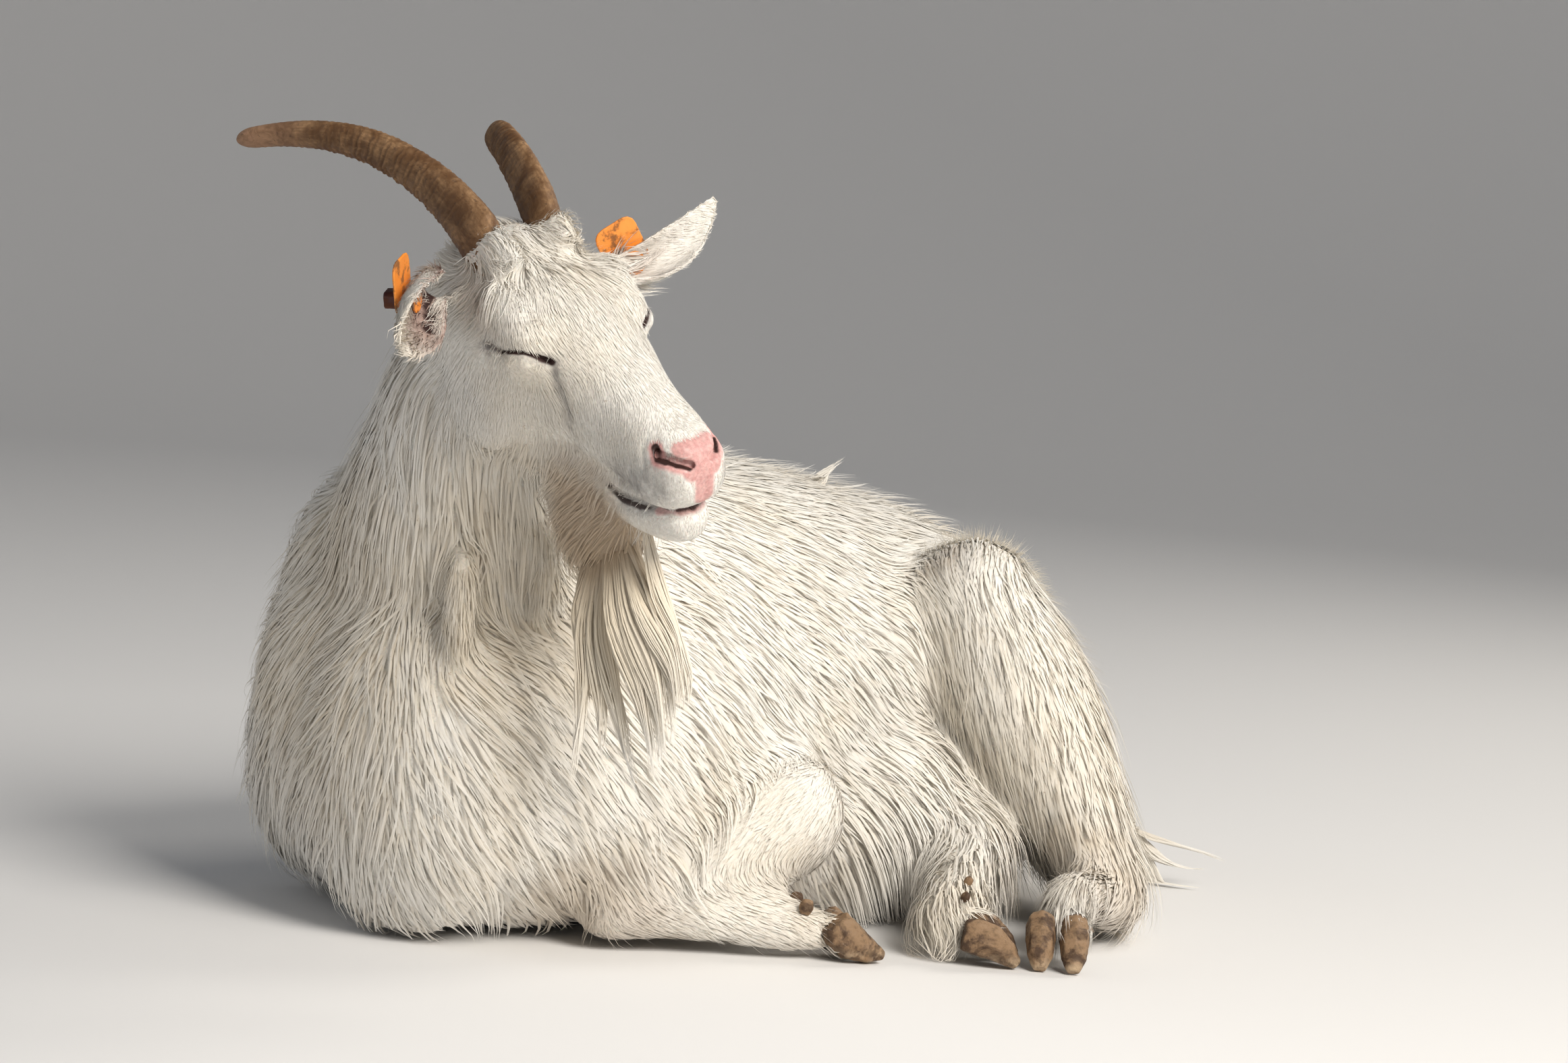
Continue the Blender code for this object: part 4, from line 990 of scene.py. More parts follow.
def root_uv(root):
    """Where each root lies on the unwrap of the skin."""
    spot, _, face, _ = touched(flat_shape, root)
    a, b, c = (flat_points[flat_faces[face, k]] for k in range(3))
    whole = np.cross(b - a, c - a)
    size = (whole * whole).sum(1).clip(1e-18)
    share_b = (np.cross(spot - a, c - a) * whole).sum(1) / size
    share_c = (np.cross(b - a, spot - a) * whole).sum(1) / size
    share = np.stack([1 - share_b - share_c, share_b, share_c], 1).clip(0, 1)
    return np.einsum("nk,nkj->nj", share / share.sum(1, keepdims=True), flat_uv[face])


def blades(name, spine, ups, breadth, tones, uv, slim):
    """One joined mesh of closed three-sided blades along the given spines, slimmed along their length."""
    count, rings = len(spine), spine.shape[1] - 1
    forward = np.diff(spine, axis=1)
    forward = unit(np.concatenate([forward[:, :1], forward[:, :-1] + forward[:, 1:]], 1))
    aside = unit(np.cross(forward, ups[:, :rings]))
    raised = unit(np.cross(aside, forward))
    wide = breadth[:, None] * np.interp(np.linspace(0, 1, rings), np.linspace(0, 1, len(slim)), slim)
    centre = spine[:, :rings]
    half = aside * wide[..., None] * 0.5
    verts = np.stack([centre - half, centre + half, centre + raised * (wide * BLADE_RIDGE)[..., None]], 2)
    verts = np.concatenate([verts.reshape(count, rings * 3, 3), spine[:, rings:]], 1)
    each = rings * 3 + 1
    pattern, underside = [(0, 1, 2)], [True]
    for ring in range(rings - 1):
        for p, q in ((0, 1), (1, 2), (2, 0)):
            pattern.append((ring * 3 + p, ring * 3 + 3 + p, ring * 3 + 3 + q))
            pattern.append((ring * 3 + p, ring * 3 + 3 + q, ring * 3 + q))
            underside += [p == 0, p == 0]
    last = (rings - 1) * 3
    for p, q in ((0, 1), (1, 2), (2, 0)):
        pattern.append((last + p, each - 1, last + q))
        underside.append(p == 0)
    pattern = np.array(pattern)
    tris = (pattern[None] + (np.arange(count) * each)[:, None, None]).reshape(-1, 3)
    mesh = mesh_of(name, verts.reshape(-1, 3), tris)
    across = np.tile((0.0, 1.0, 0.5), rings).tolist() + [0.5]
    along = np.repeat(np.arange(rings) / rings, 3).tolist() + [1.0]
    local = np.stack([across, along], 1)[pattern]
    vary = rng.random(count)
    strand_uv = np.broadcast_to(local[None], (count, len(pattern), 3, 2)).copy()
    strand_uv[..., 0] += (vary * 40).round()[:, None, None] * 1.7
    patch = uv[:, None, None, :] + (local[None] - 0.5) * TUFT_PATCH
    for label, spread in (("OFBake", patch), ("strand", strand_uv)):
        layer = mesh.uv_layers.new(name=label)
        layer.data.foreach_set("uv", spread.astype(np.float32).ravel())
    paint_points(mesh, "tone", np.repeat(tones, each, 0))
    for label, values in (("vary", np.repeat(vary, each)), ("along", np.tile(np.array(along), count))):
        layer = mesh.attributes.new(label, "FLOAT", "POINT")
        layer.data.foreach_set("value", values.astype(np.float32))
    own = np.zeros(len(mesh.vertices) * 3, np.float32)
    mesh.vertices.foreach_get("normal", own)
    led = np.concatenate([np.repeat(ups[:, :rings], 3, axis=1).reshape(count, -1, 3), ups[:, rings:]], 1)
    mixed = unit(own.reshape(-1, 3) * (1 - BLADE_SOFTNESS) + led.reshape(-1, 3) * BLADE_SOFTNESS)[tris]
    below = np.tile(np.array(underside), count)
    corners = verts.reshape(-1, 3)[tris[below]]
    mixed[below] = unit(np.cross(corners[:, 1] - corners[:, 0], corners[:, 2] - corners[:, 0]))[:, None]
    mesh.normals_split_custom_set(mixed.reshape(-1, 3).tolist())
    mesh.materials.append(hair_material)
    return placed(name, mesh, "coat")


# a warm, darker colour painted at the hair's roots as shade deep in the coat
HAIR_ROOT_SHADE = (0.93, 0.87, 0.78, 1)
hair_material, hair_shader = new_material("goat_hair", WHITE, 0.62, 0.30)
tree = hair_material.node_tree
place, outside_hollow_shade, coat_node = coat_colour_in(tree)
strand_map = tree.nodes.new("ShaderNodeUVMap")
strand_map.uv_map = "strand"
stretch = tree.nodes.new("ShaderNodeMapping")
stretch.inputs["Scale"].default_value = (7.0, 0.45, 1.0)
tree.links.new(strand_map.outputs["UV"], stretch.inputs["Vector"])
streak = noise(tree, stretch.outputs["Vector"], 1.6, 3.0, 0.6)
measures = {}
for label in ("vary", "along"):
    node = tree.nodes.new("ShaderNodeAttribute")
    node.attribute_name = label
    measures[label] = node.outputs["Fac"]
# Each strand's tone varies along its streaks and at random; toward its root it is painted darker and warmer, as
# painted shade deep in the coat
shade = remap(tree, streak, 0.30, 0.70, 0.89, 1.05)
shade = maths(tree, "MULTIPLY", shade, remap(tree, measures["vary"], 0.0, 1.0, 0.95, 1.03, smooth=False))
shade = maths(tree, "MULTIPLY", shade, remap(tree, measures["along"], 0.0, 0.55, 0.95, 1.0))
warm = remap(tree, measures["along"], 0.0, 0.75, 0.55, 0.0)
shaded_root_colour = blended(tree, 1.0, coat_node.outputs["Colour"], HAIR_ROOT_SHADE, "MULTIPLY")
tinted = blended(tree, warm, coat_node.outputs["Colour"], shaded_root_colour)
tree.links.new(blended(tree, 1.0, tinted, shade, "MULTIPLY"), hair_shader.inputs["Base Color"])
roughened(tree, hair_shader, streak, 0.5, 0.0005)
hair_shader.inputs["Sheen Weight"].default_value = 0.25
hair_shader.inputs["Sheen Roughness"].default_value = 0.45

face_owner = owner[faces[:, 0]]
on_face = on("head", "eyelid_left", "eyelid_right", "ear_left", "ear_right")[faces[:, 0]]
# Each part of the coat: its name, its faces, its number of tufts, the most in one piece, how many draw together
# and how firmly
TUFTS = (("coat_body", ~on_face, 56000, 14000, 9, 0.22), ("coat_head", on_face, 47000, 19000, 6, 0.18))
TUFT_RINGS = 2
WILD = 0.20
FLOOR_GAP = 0.0016


def grown(chosen, count, clump, hold):
    """Combed tufts on the chosen faces, with what blades() needs."""
    pick, share = scatter(count, chosen)
    order = np.lexsort((carried(points, pick, share)[:, 1].round(2), face_owner[pick]))
    pick, share = pick[order], share[order]
    root = carried(points, pick, share)
    up = unit(carried(normals, pick, share))
    heading = flattened(carried(lie, pick, share), up)
    swirl = wave(root, 0.060, 3) * 0.16 + wave(root, 0.018, 4) * WILD * 0.6 + rng.normal(0, WILD * 0.5, count)
    heading = turned(heading, up, swirl)
    long = carried(hair_length, pick, share) * rng.uniform(0.72, 1.25, count) * (1 + 0.15 * wave(root, 0.03, 5))
    high = carried(stand, pick, share) * rng.uniform(0.15, 0.62, count)
    high = high * (1 + 0.25 * wave(root, 0.025, 6)).clip(0.3, 1.5)
    spine, ups = combed(root, up, heading, long, high, TUFT_RINGS)
    lead = rng.permutation(count)
    spine = clumped(spine[lead], root[lead], clump, hold)[np.argsort(lead)]
    wide = carried(breadth, pick, share) * rng.uniform(0.7, 1.3, count)
    spine[..., 2] = np.maximum(spine[..., 2], FLOOR_GAP)
    return spine, ups, wide, carried(tone, pick, share), root_uv(root)


for name, chosen, count, most, clump, hold in TUFTS:
    tufts = grown(chosen, count, clump, hold)
    for index, start in enumerate(range(0, count, most)):
        blades(f"{name}_{index + 1}", *(values[start:start + most] for values in tufts), (0.85, 1.0))


# ==== Long hair: beard, mane, ridge of the back, breast, brush of the thighs and tail ====
# The same hair grown long. Each strand is a narrow closed ribbon that leaves the skin with the coat's lie and
# then hangs, and neighbouring strands draw together into pointed locks.

LONG_FLOOR_GAP = 0.0020
LONG_SLIM = (0.8, 1.0, 0.8, 0.5, 0.28)


def long_hair(name, chosen, count, length, height, droop, wide, clump, hold, rings=5, free=False):
    """Strands on the chosen faces. They follow the skin, or run straight off it when they are free."""
    pick, share = scatter(count, chosen)
    root = carried(points, pick, share)
    up = unit(carried(normals, pick, share))
    heading = flattened(carried(lie, pick, share), up)
    heading = turned(heading, up, wave(root, 0.05, 8) * 0.22 + rng.normal(0, 0.12, count))
    long = length * rng.uniform(0.6, 1.15, count)
    high = height * rng.uniform(0.4, 1.1, count)
    if free:
        step = np.arange(rings + 1) / rings
        spine = root[:, None] + heading[:, None] * (step[None] * long[:, None])[..., None]
        rise = step[None] ** 0.8 * high[:, None] - ROOT_SUNK * (step[None] == 0)
        spine = spine + up[:, None] * rise[..., None]
        ups = np.broadcast_to(up[:, None], spine.shape)
    else:
        spine, ups = combed(root, up, heading, long, high, rings)
    spine = clumped(spine, root, clump, hold)
    fall = (np.arange(rings + 1) / rings) ** 2
    spine[..., 2] -= fall * droop * long[:, None]
    spine[..., 2] = np.maximum(spine[..., 2], LONG_FLOOR_GAP)
    wide = wide * rng.uniform(0.6, 1.2, count)
    blades(name, spine, ups, wide, carried(tone, pick, share), root_uv(root), LONG_SLIM)


middle = points[faces].mean(1)
facing = unit(normals[faces].mean(1))
head_spot = in_head(middle - HEAD_PLACE)


def part_is(*names):
    """Which faces belong to the named nodes."""
    return np.isin(face_owner, [FLESH.index(name) for name in names])


def foot_of(limb):
    """The faces round the end of a limb, apart from those that face its claws."""
    line = np.array(LIMB_LINES[limb])
    beside = (np.linalg.norm(middle - line[-1], axis=1) < 0.050) & (facing @ unit(line[-1] - line[-2]) < 0.45)
    return part_is(limb) & beside & (facing[:, 2] > -0.4)


ridge_line = np.array((
    (-0.1500, -0.1800, 0.4000), (-0.1200, 0.1000, 0.4000), (-0.0600, 0.3500, 0.3200), (-0.0400, 0.4600, 0.2000),
))
on_ridge = part_is("trunk", "neck") & (facing[:, 2] > 0.3) & (line_gap(middle, ridge_line) < 0.07)
on_breast = part_is("trunk", "neck") & (middle[:, 1] < -0.16) & (facing[:, 1] < 0.3)
behind_breast = part_is("trunk") & (middle[:, 1] > -0.16)
on_poll = part_is("head") & (head_spot[:, 0] < 0.085) & (head_spot[:, 2] > 0.030)
on_wattle = part_is("wattle_left", "wattle_right")
on_throat = (part_is("head") & (head_spot[:, 2] < -0.060) & (head_spot[:, 0] < 0.20)) | on_wattle
on_belly = part_is("trunk") & (middle[:, 2] < 0.15) & (middle[:, 1] > 0.0) & (middle[:, 0] > 0.0)
low_leg = part_is("hind_leg_right") & (middle[:, 2] > 0.035)
rear_leg = part_is("hind_leg_left") & (middle[:, 1] > 0.19) & (middle[:, 2] < 0.22)
on_stifle = part_is("hind_leg_left") & (facing[:, 2] > 0.15) & (middle[:, 2] > 0.22)
on_body = part_is("trunk", "neck", "hind_leg_left", "tail", "fore_leg_left", "fore_leg_right")
ear_rim = part_is("ear_right") & (inner_ear_and_shade[faces].mean(1) > 0.05)
ear_root = part_is("ear_left", "head") & (np.linalg.norm(head_spot - (0.056, 0.064, 0.042), axis=1) < 0.016)
near_ear_root = np.linalg.norm(head_spot - (0.020, -0.062, 0.045), axis=1) < 0.030
near_ear_root &= part_is("ear_right", "head")

# Each piece: the faces that it grows on, its number of strands, and their length, standing height, droop and
# breadth; then how many draw together, how firmly, the steps along each, and whether they leave the skin freely
FOOT_HAIR = (520, 0.034, 0.007, 0.20, 0.0013, 6, 0.3, 3, True)
LONG_HAIR = {
    "ridge": (on_ridge, 900, 0.075, 0.020, 0.05, 0.0022, 9, 0.55),
    "breast": (on_breast, 1500, 0.070, 0.017, 0.10, 0.0024, 8, 0.5),
    "flank": (behind_breast & (facing[:, 0] > 0.1), 900, 0.062, 0.013, 0.05, 0.0024, 8, 0.45),
    "far_flank": (behind_breast & (facing[:, 0] < -0.1), 900, 0.062, 0.013, 0.05, 0.0024, 8, 0.45),
    "thigh": (part_is("hind_leg_left"), 900, 0.055, 0.015, 0.12, 0.0022, 8, 0.5),
    "tail": (part_is("tail"), 500, 0.085, 0.012, 0.10, 0.0022, 9, 0.5),
    "poll": (on_poll, 1100, 0.030, 0.010, -0.05, 0.0013, 7, 0.5, 4),
    "throat": (on_throat, 1000, 0.036, 0.009, 0.20, 0.0015, 7, 0.45, 4),
    "wattles": (on_wattle, 520, 0.026, 0.008, 0.30, 0.0014, 6, 0.3, 3, True),
    "belly": (on_belly, 800, 0.085, 0.022, 0.45, 0.0022, 9, 0.45),
    "under_leg": (low_leg, 800, 0.055, 0.026, 0.40, 0.0022, 8, 0.40),
    "hock": (rear_leg, 600, 0.062, 0.022, 0.30, 0.0022, 9, 0.45),
    "fore_leg_left_foot": (foot_of("fore_leg_left"), *FOOT_HAIR),
    "fore_leg_right_foot": (foot_of("fore_leg_right"), *FOOT_HAIR),
    "hind_leg_left_foot": (foot_of("hind_leg_left"), *FOOT_HAIR),
    "hind_leg_right_foot": (foot_of("hind_leg_right"), *FOOT_HAIR),
    "stifle": (on_stifle, 1100, 0.026, 0.020, 0.05, 0.0010, 6, 0.25, 2, True),
    "fluff": (on_body & (facing[:, 2] > -0.5), 6500, 0.028, 0.012, 0.10, 0.0009, 5, 0.25, 2, True),
    "ear_rim": (ear_rim, 420, 0.017, 0.009, 0.0, 0.0011, 5, 0.3, 3),
    "ears": (part_is("ear_left", "ear_right"), 700, 0.020, 0.004, 0.05, 0.0010, 5, 0.4, 3),
    "ear_root": (ear_root, 620, 0.038, 0.016, -0.10, 0.0019, 6, 0.35, 4),
    "near_ear_root": (near_ear_root, 420, 0.028, 0.008, 0.0, 0.0011, 6, 0.5, 4),
}
for name, settings in LONG_HAIR.items():
    long_hair("coat_" + name, *settings)

# The beard's locks: the course of each, its spread at root, middle and tip, and its number of strands
BEARD_LOCKS = (
    (((0.1298, -0.3713, 0.3209), (0.1571, -0.3692, 0.2859),
      (0.1849, -0.3664, 0.2542), (0.1868, -0.3685, 0.2221)), (0.0130, 0.0150, 0.0050), 190),
    (((0.1196, -0.3720, 0.3197), (0.1452, -0.3716, 0.2786),
      (0.1728, -0.3696, 0.2408), (0.1792, -0.3710, 0.1886)), (0.0130, 0.0150, 0.0045), 190),
    (((0.1097, -0.3729, 0.3155), (0.1302, -0.3756, 0.2767),
      (0.1610, -0.3721, 0.2334), (0.1717, -0.3718, 0.1698)), (0.0120, 0.0130, 0.0030), 150),
    (((0.1378, -0.3714, 0.3279), (0.1665, -0.3683, 0.2931),
      (0.1861, -0.3649, 0.2602), (0.1883, -0.3663, 0.2340)), (0.0080, 0.0080, 0.0040), 70),
    (((0.1004, -0.3674, 0.3112), (0.1130, -0.3710, 0.2564),
      (0.1313, -0.3698, 0.2112), (0.1501, -0.3635, 0.1540)), (0.0110, 0.0080, 0.0016), 90),
    (((0.0848, -0.3658, 0.3091), (0.0998, -0.3695, 0.2605),
      (0.1038, -0.3754, 0.2136), (0.1021, -0.3827, 0.1540)), (0.0120, 0.0060, 0.0014), 80),
    (((0.0926, -0.3666, 0.3101), (0.1062, -0.3695, 0.2554),
      (0.1189, -0.3714, 0.2155), (0.1216, -0.3736, 0.1772)), (0.0110, 0.0060, 0.0014), 60),
    (((0.0789, -0.3637, 0.3083), (0.0887, -0.3666, 0.2768),
      (0.1008, -0.3683, 0.2426), (0.1073, -0.3671, 0.2136)), (0.0100, 0.0080, 0.0040), 60),
)
# Wisps that stand clear of the coat: three at the end of the tail, and one on the back
WISPS = (
    (((0.1187, 0.4966, 0.0462), (0.1366, 0.5074, 0.0387),
      (0.1610, 0.5231, 0.0376), (0.1877, 0.5394, 0.0274)), (0.0120, 0.0090, 0.0020), 70),
    (((0.1183, 0.4946, 0.0295), (0.1345, 0.5026, 0.0059),
      (0.1545, 0.5010, -0.0199), (0.1765, 0.5131, -0.0407)), (0.0120, 0.0090, 0.0020), 70),
    (((0.1198, 0.4963, 0.0369), (0.1386, 0.5070, 0.0222),
      (0.1516, 0.5147, 0.0149), (0.1724, 0.5286, 0.0185)), (0.0120, 0.0090, 0.0030), 60),
    (((-0.0559, 0.1632, 0.3470), (-0.0517, 0.1673, 0.3598),
      (-0.0468, 0.1712, 0.3672), (-0.0351, 0.1801, 0.3801)), (0.0100, 0.0060, 0.0012), 40),
)
BEARD_RINGS = 9
BEARD_BREADTH = 0.0014
WISP_BREADTH = 0.0009
LOCK_SLIM = (1.0, 1.0, 0.9, 0.7, 0.35)
LOCK_FLOOR_GAP = 0.0030
LOCK_SIDE = np.array((0.83, 0.55, 0.0))
LOCK_FRONT = np.array((-0.55, 0.83, 0.0))
PLAIN_TONE = (0.0, 0.0, 0.0, 1.0)


def bezier(course, t):
    """Points along a curve of four handles."""
    a, b, c, d = np.array(course)
    t = np.asarray(t)[..., None]
    return a * (1 - t) ** 3 + b * 3 * (1 - t) ** 2 * t + c * 3 * (1 - t) * t ** 2 + d * t ** 3


def locks(name, courses, thin):
    """Loose locks of strands, each along its own course, with their roots on the skin."""
    spines, upward = [], []
    for course, spread, count in courses:
        t = np.arange(BEARD_RINGS + 1) / BEARD_RINGS
        along = np.minimum(t[None] * rng.uniform(0.62, 1.04, count)[:, None], 1.04)
        centre = bezier(course, along)
        turn = rng.uniform(0, math.tau, count)
        radius = np.interp(along, (0, 0.5, 1.04), spread) * np.sqrt(rng.random(count))[:, None]
        around = LOCK_SIDE * np.cos(turn)[:, None] + LOCK_FRONT * (0.55 * np.sin(turn))[:, None]
        ripple = 0.0016 * np.sin(along * 9 + turn[:, None] * 2)[..., None] * LOCK_SIDE
        strands = centre + around[:, None, :] * radius[..., None] + ripple
        rooted = np.array([skin_shape.find_nearest(tuple(spot))[0] for spot in strands[:, 0]])
        reach_out = np.clip(1 - along / 0.35, 0, 1) ** 2
        spines.append(strands + (rooted - strands[:, 0])[:, None] * reach_out[..., None])
        outward = unit(around * 0.35 + (0.60, -0.75, 0.25))
        upward.append(np.broadcast_to(outward[:, None, :], (count, BEARD_RINGS + 1, 3)))
    spines = np.concatenate(spines)
    spines[..., 2] = np.maximum(spines[..., 2], LOCK_FLOOR_GAP)
    return blades(
        name, spines, np.concatenate(upward), thin * rng.uniform(0.6, 1.3, len(spines)),
        np.tile(PLAIN_TONE, (len(spines), 1)), root_uv(spines[:, 0]), LOCK_SLIM,
    )


beard = locks("beard_locks", BEARD_LOCKS, BEARD_BREADTH)
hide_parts("beard")
locks("coat_wisps", WISPS, WISP_BREADTH)


# ==== Lashes, brow bristles and whiskers: single stiff hairs ====
# They are coarser and straighter than the coat. The lashes are white and lie down over the closed lid, and the
# whiskers stand out of the lips, chin and brow.

# Each spray: the line that its hairs grow from, and their number, heading, spread and length
SPRAYS = (
    (LASH_LINE[:5], 70, (0.10, -0.75, -0.65), 0.30, 0.0125),
    (LASH_LINE[3:], 30, (0.45, -0.70, -0.55), 0.25, 0.0070),
    (((0.0200, -0.0700, 0.0470), (0.0600, -0.0880, 0.0400)), 60, (0.30, -0.75, 0.35), 0.30, 0.0210),
    (BROW_TOP, 16, (0.25, -0.55, 0.80), 0.35, 0.0240),
    (UPPER_LIP[:3], 12, (0.20, -0.85, -0.30), 0.35, 0.0100),
    (LOWER_LIP[:2], 10, (0.15, -0.60, -0.80), 0.35, 0.0080),
    (((0.2100, -0.0180, -0.0780), (0.2400, -0.0100, -0.0720)), 22, (0.05, -0.25, -1.0), 0.35, 0.0180),
    (((0.1500, -0.0350, -0.0700), (0.1850, -0.0280, -0.0720)), 18, (-0.10, -0.45, -0.90), 0.35, 0.0200),
)
BRISTLE_BREADTH = 0.00042
BRISTLE_SLIM = (1.0, 0.9, 0.55)
BRISTLE_STEPS = 4
BRISTLE_SAG = np.array((0, 0, -0.30))
bristle_spine, bristle_up = [], []
for line, count, heading, spread, length in SPRAYS:
    for side in both_sides(line):
        course = np.array(side)
        spot = np.interp(rng.random(count) * (len(course) - 1), np.arange(len(course)), np.arange(len(course)))
        low = np.floor(spot).astype(int).clip(0, len(course) - 2)
        start = course[low] + (course[low + 1] - course[low]) * (spot - low)[:, None]
        start = start + rng.normal(0, 0.0012, (count, 3))
        way = np.array(heading) * (1, 1 if course[:, 1].mean() < 0 else -1, 1)
        found = [skin_shape.find_nearest(tuple(HEAD_PLACE + place @ HEAD_AXES)) for place in start]
        root = np.array([hit[0][:] for hit in found])
        up = np.array([hit[1][:] for hit in found])
        aim = unit((unit(way) @ HEAD_AXES) + rng.normal(0, spread, (count, 3)))
        long = length * rng.uniform(0.6, 1.2, count)
        steps = np.arange(BRISTLE_STEPS + 1) / BRISTLE_STEPS
        bend = (BRISTLE_SAG * (steps ** 2)[None, :, None]) * long[:, None, None]
        reach = aim[:, None] * steps[None, :, None] * long[:, None, None]
        bristle_spine.append(root[:, None] - up[:, None] * 0.001 + reach + bend)
        bristle_up.append(np.broadcast_to(up[:, None], (count, BRISTLE_STEPS + 1, 3)))
bristle_spine = np.concatenate(bristle_spine)
blades(
    "coat_bristles", bristle_spine, np.concatenate(bristle_up), np.full(len(bristle_spine), BRISTLE_BREADTH),
    np.tile(PLAIN_TONE, (len(bristle_spine), 1)), root_uv(bristle_spine[:, 0]), BRISTLE_SLIM,
)


# ==== Horns: hollow brown horn that sweeps back from the poll, keeled in front ====
# Each horn is a growing sheath on a core of bone. It has fine growth rings in its middle length, a worn pale
# tip, and painted shade, darker and redder, on its underside, and hair closes round its root.

HORN_BENDS = {
    "horn_right": (
        (0.054, -0.031, 0.054), (-0.020, -0.027, 0.105), (-0.108, -0.036, 0.122), (-0.195, -0.103, 0.077),
    ),
    "horn_left": ((0.050, 0.022, 0.056), (-0.041, 0.043, 0.122), (-0.102, 0.067, 0.080), (-0.151, 0.111, 0.038)),
}
HORN_BASE_RADIUS = 0.0205
HORN_TIP_RADIUS = 0.0080
HORN_HALF_WIDTH = 0.74
HORN_KEEL = 1.20
HORN_KEEL_AT_ROOT = 0.60
HORN_TIP_FROM = 0.955
HORN_RINGS = 190
HORN_SIDES = 44
RING_HEIGHT = 0.00062
HORN_THICKNESS = {"horn_right": 1.0, "horn_left": 0.86}
HORN_BROWN = (0.105, 0.050, 0.020, 1)
HORN_TAN = (0.320, 0.190, 0.095, 1)
HORN_UNDER_SHADE = (0.075, 0.024, 0.009, 1)
# dark red-brown painted shade for the horn's underside
HORN_PALE = (0.34, 0.20, 0.125, 1)
HORN_PIT = (0.05, 0.03, 0.02, 1)

horn_material, horn_shader = new_material("horn", HORN_BROWN, 0.6, 0.28)
tree = horn_material.node_tree
place = object_place(tree)
ring_map = tree.nodes.new("ShaderNodeUVMap")
ring_map.uv_map = "sheath"
sheath = tree.nodes.new("ShaderNodeVertexColor")
sheath.layer_name = "sheath_face"
faces_of_horn = tree.nodes.new("ShaderNodeSeparateColor")
tree.links.new(sheath.outputs["Color"], faces_of_horn.inputs["Color"])
streaks = tree.nodes.new("ShaderNodeMapping")
streaks.inputs["Scale"].default_value = (9.0, 9.0, 1.0)
tree.links.new(ring_map.outputs["UV"], streaks.inputs["Vector"])
long_streak = noise(tree, streaks.outputs["Vector"], 2.0, 5.0, 0.65, 0.3)
curl = noise(tree, place, 120.0, 4.0, 0.62, 1.6)
mottle = remap(tree, noise(tree, place, 38.0, 5.0, 0.65, 0.8), 0.38, 0.66)
streaky = remap(tree, blended(tree, 0.5, curl, long_streak), 0.40, 0.62, 0.35, 1.0)
colour = blended(tree, maths(tree, "MULTIPLY", mottle, streaky), HORN_BROWN, HORN_TAN)
# painted shade on the horn's underside, darker and redder, fading toward the tip
inner = maths(tree, "MULTIPLY", faces_of_horn.outputs["Red"], remap(tree, curl, 0.36, 0.60, 1.0, 0.55))
colour = blended(tree, inner, colour, HORN_UNDER_SHADE)
crest = maths(tree, "MULTIPLY", faces_of_horn.outputs["Blue"], remap(tree, curl, 0.36, 0.66, 0.10, 0.55))
colour = blended(tree, crest, colour, HORN_TAN)
tip_pale = maths(tree, "MULTIPLY", faces_of_horn.outputs["Green"], remap(tree, curl, 0.35, 0.65, 0.4, 0.9))
colour = blended(tree, tip_pale, colour, HORN_PALE)
pits = remap(tree, noise(tree, place, 310.0, 3.0), 0.60, 0.72, 0.0, 0.55)
colour = blended(tree, pits, colour, HORN_PIT)
tree.links.new(colour, horn_shader.inputs["Base Color"])
tree.links.new(remap(tree, curl, 0.3, 0.7, 0.48, 0.72), horn_shader.inputs["Roughness"])
grain = blended(tree, 0.5, long_streak, noise(tree, place, 420.0, 4.0, 0.65))
roughened(tree, horn_shader, grain, 0.55, 0.0008)

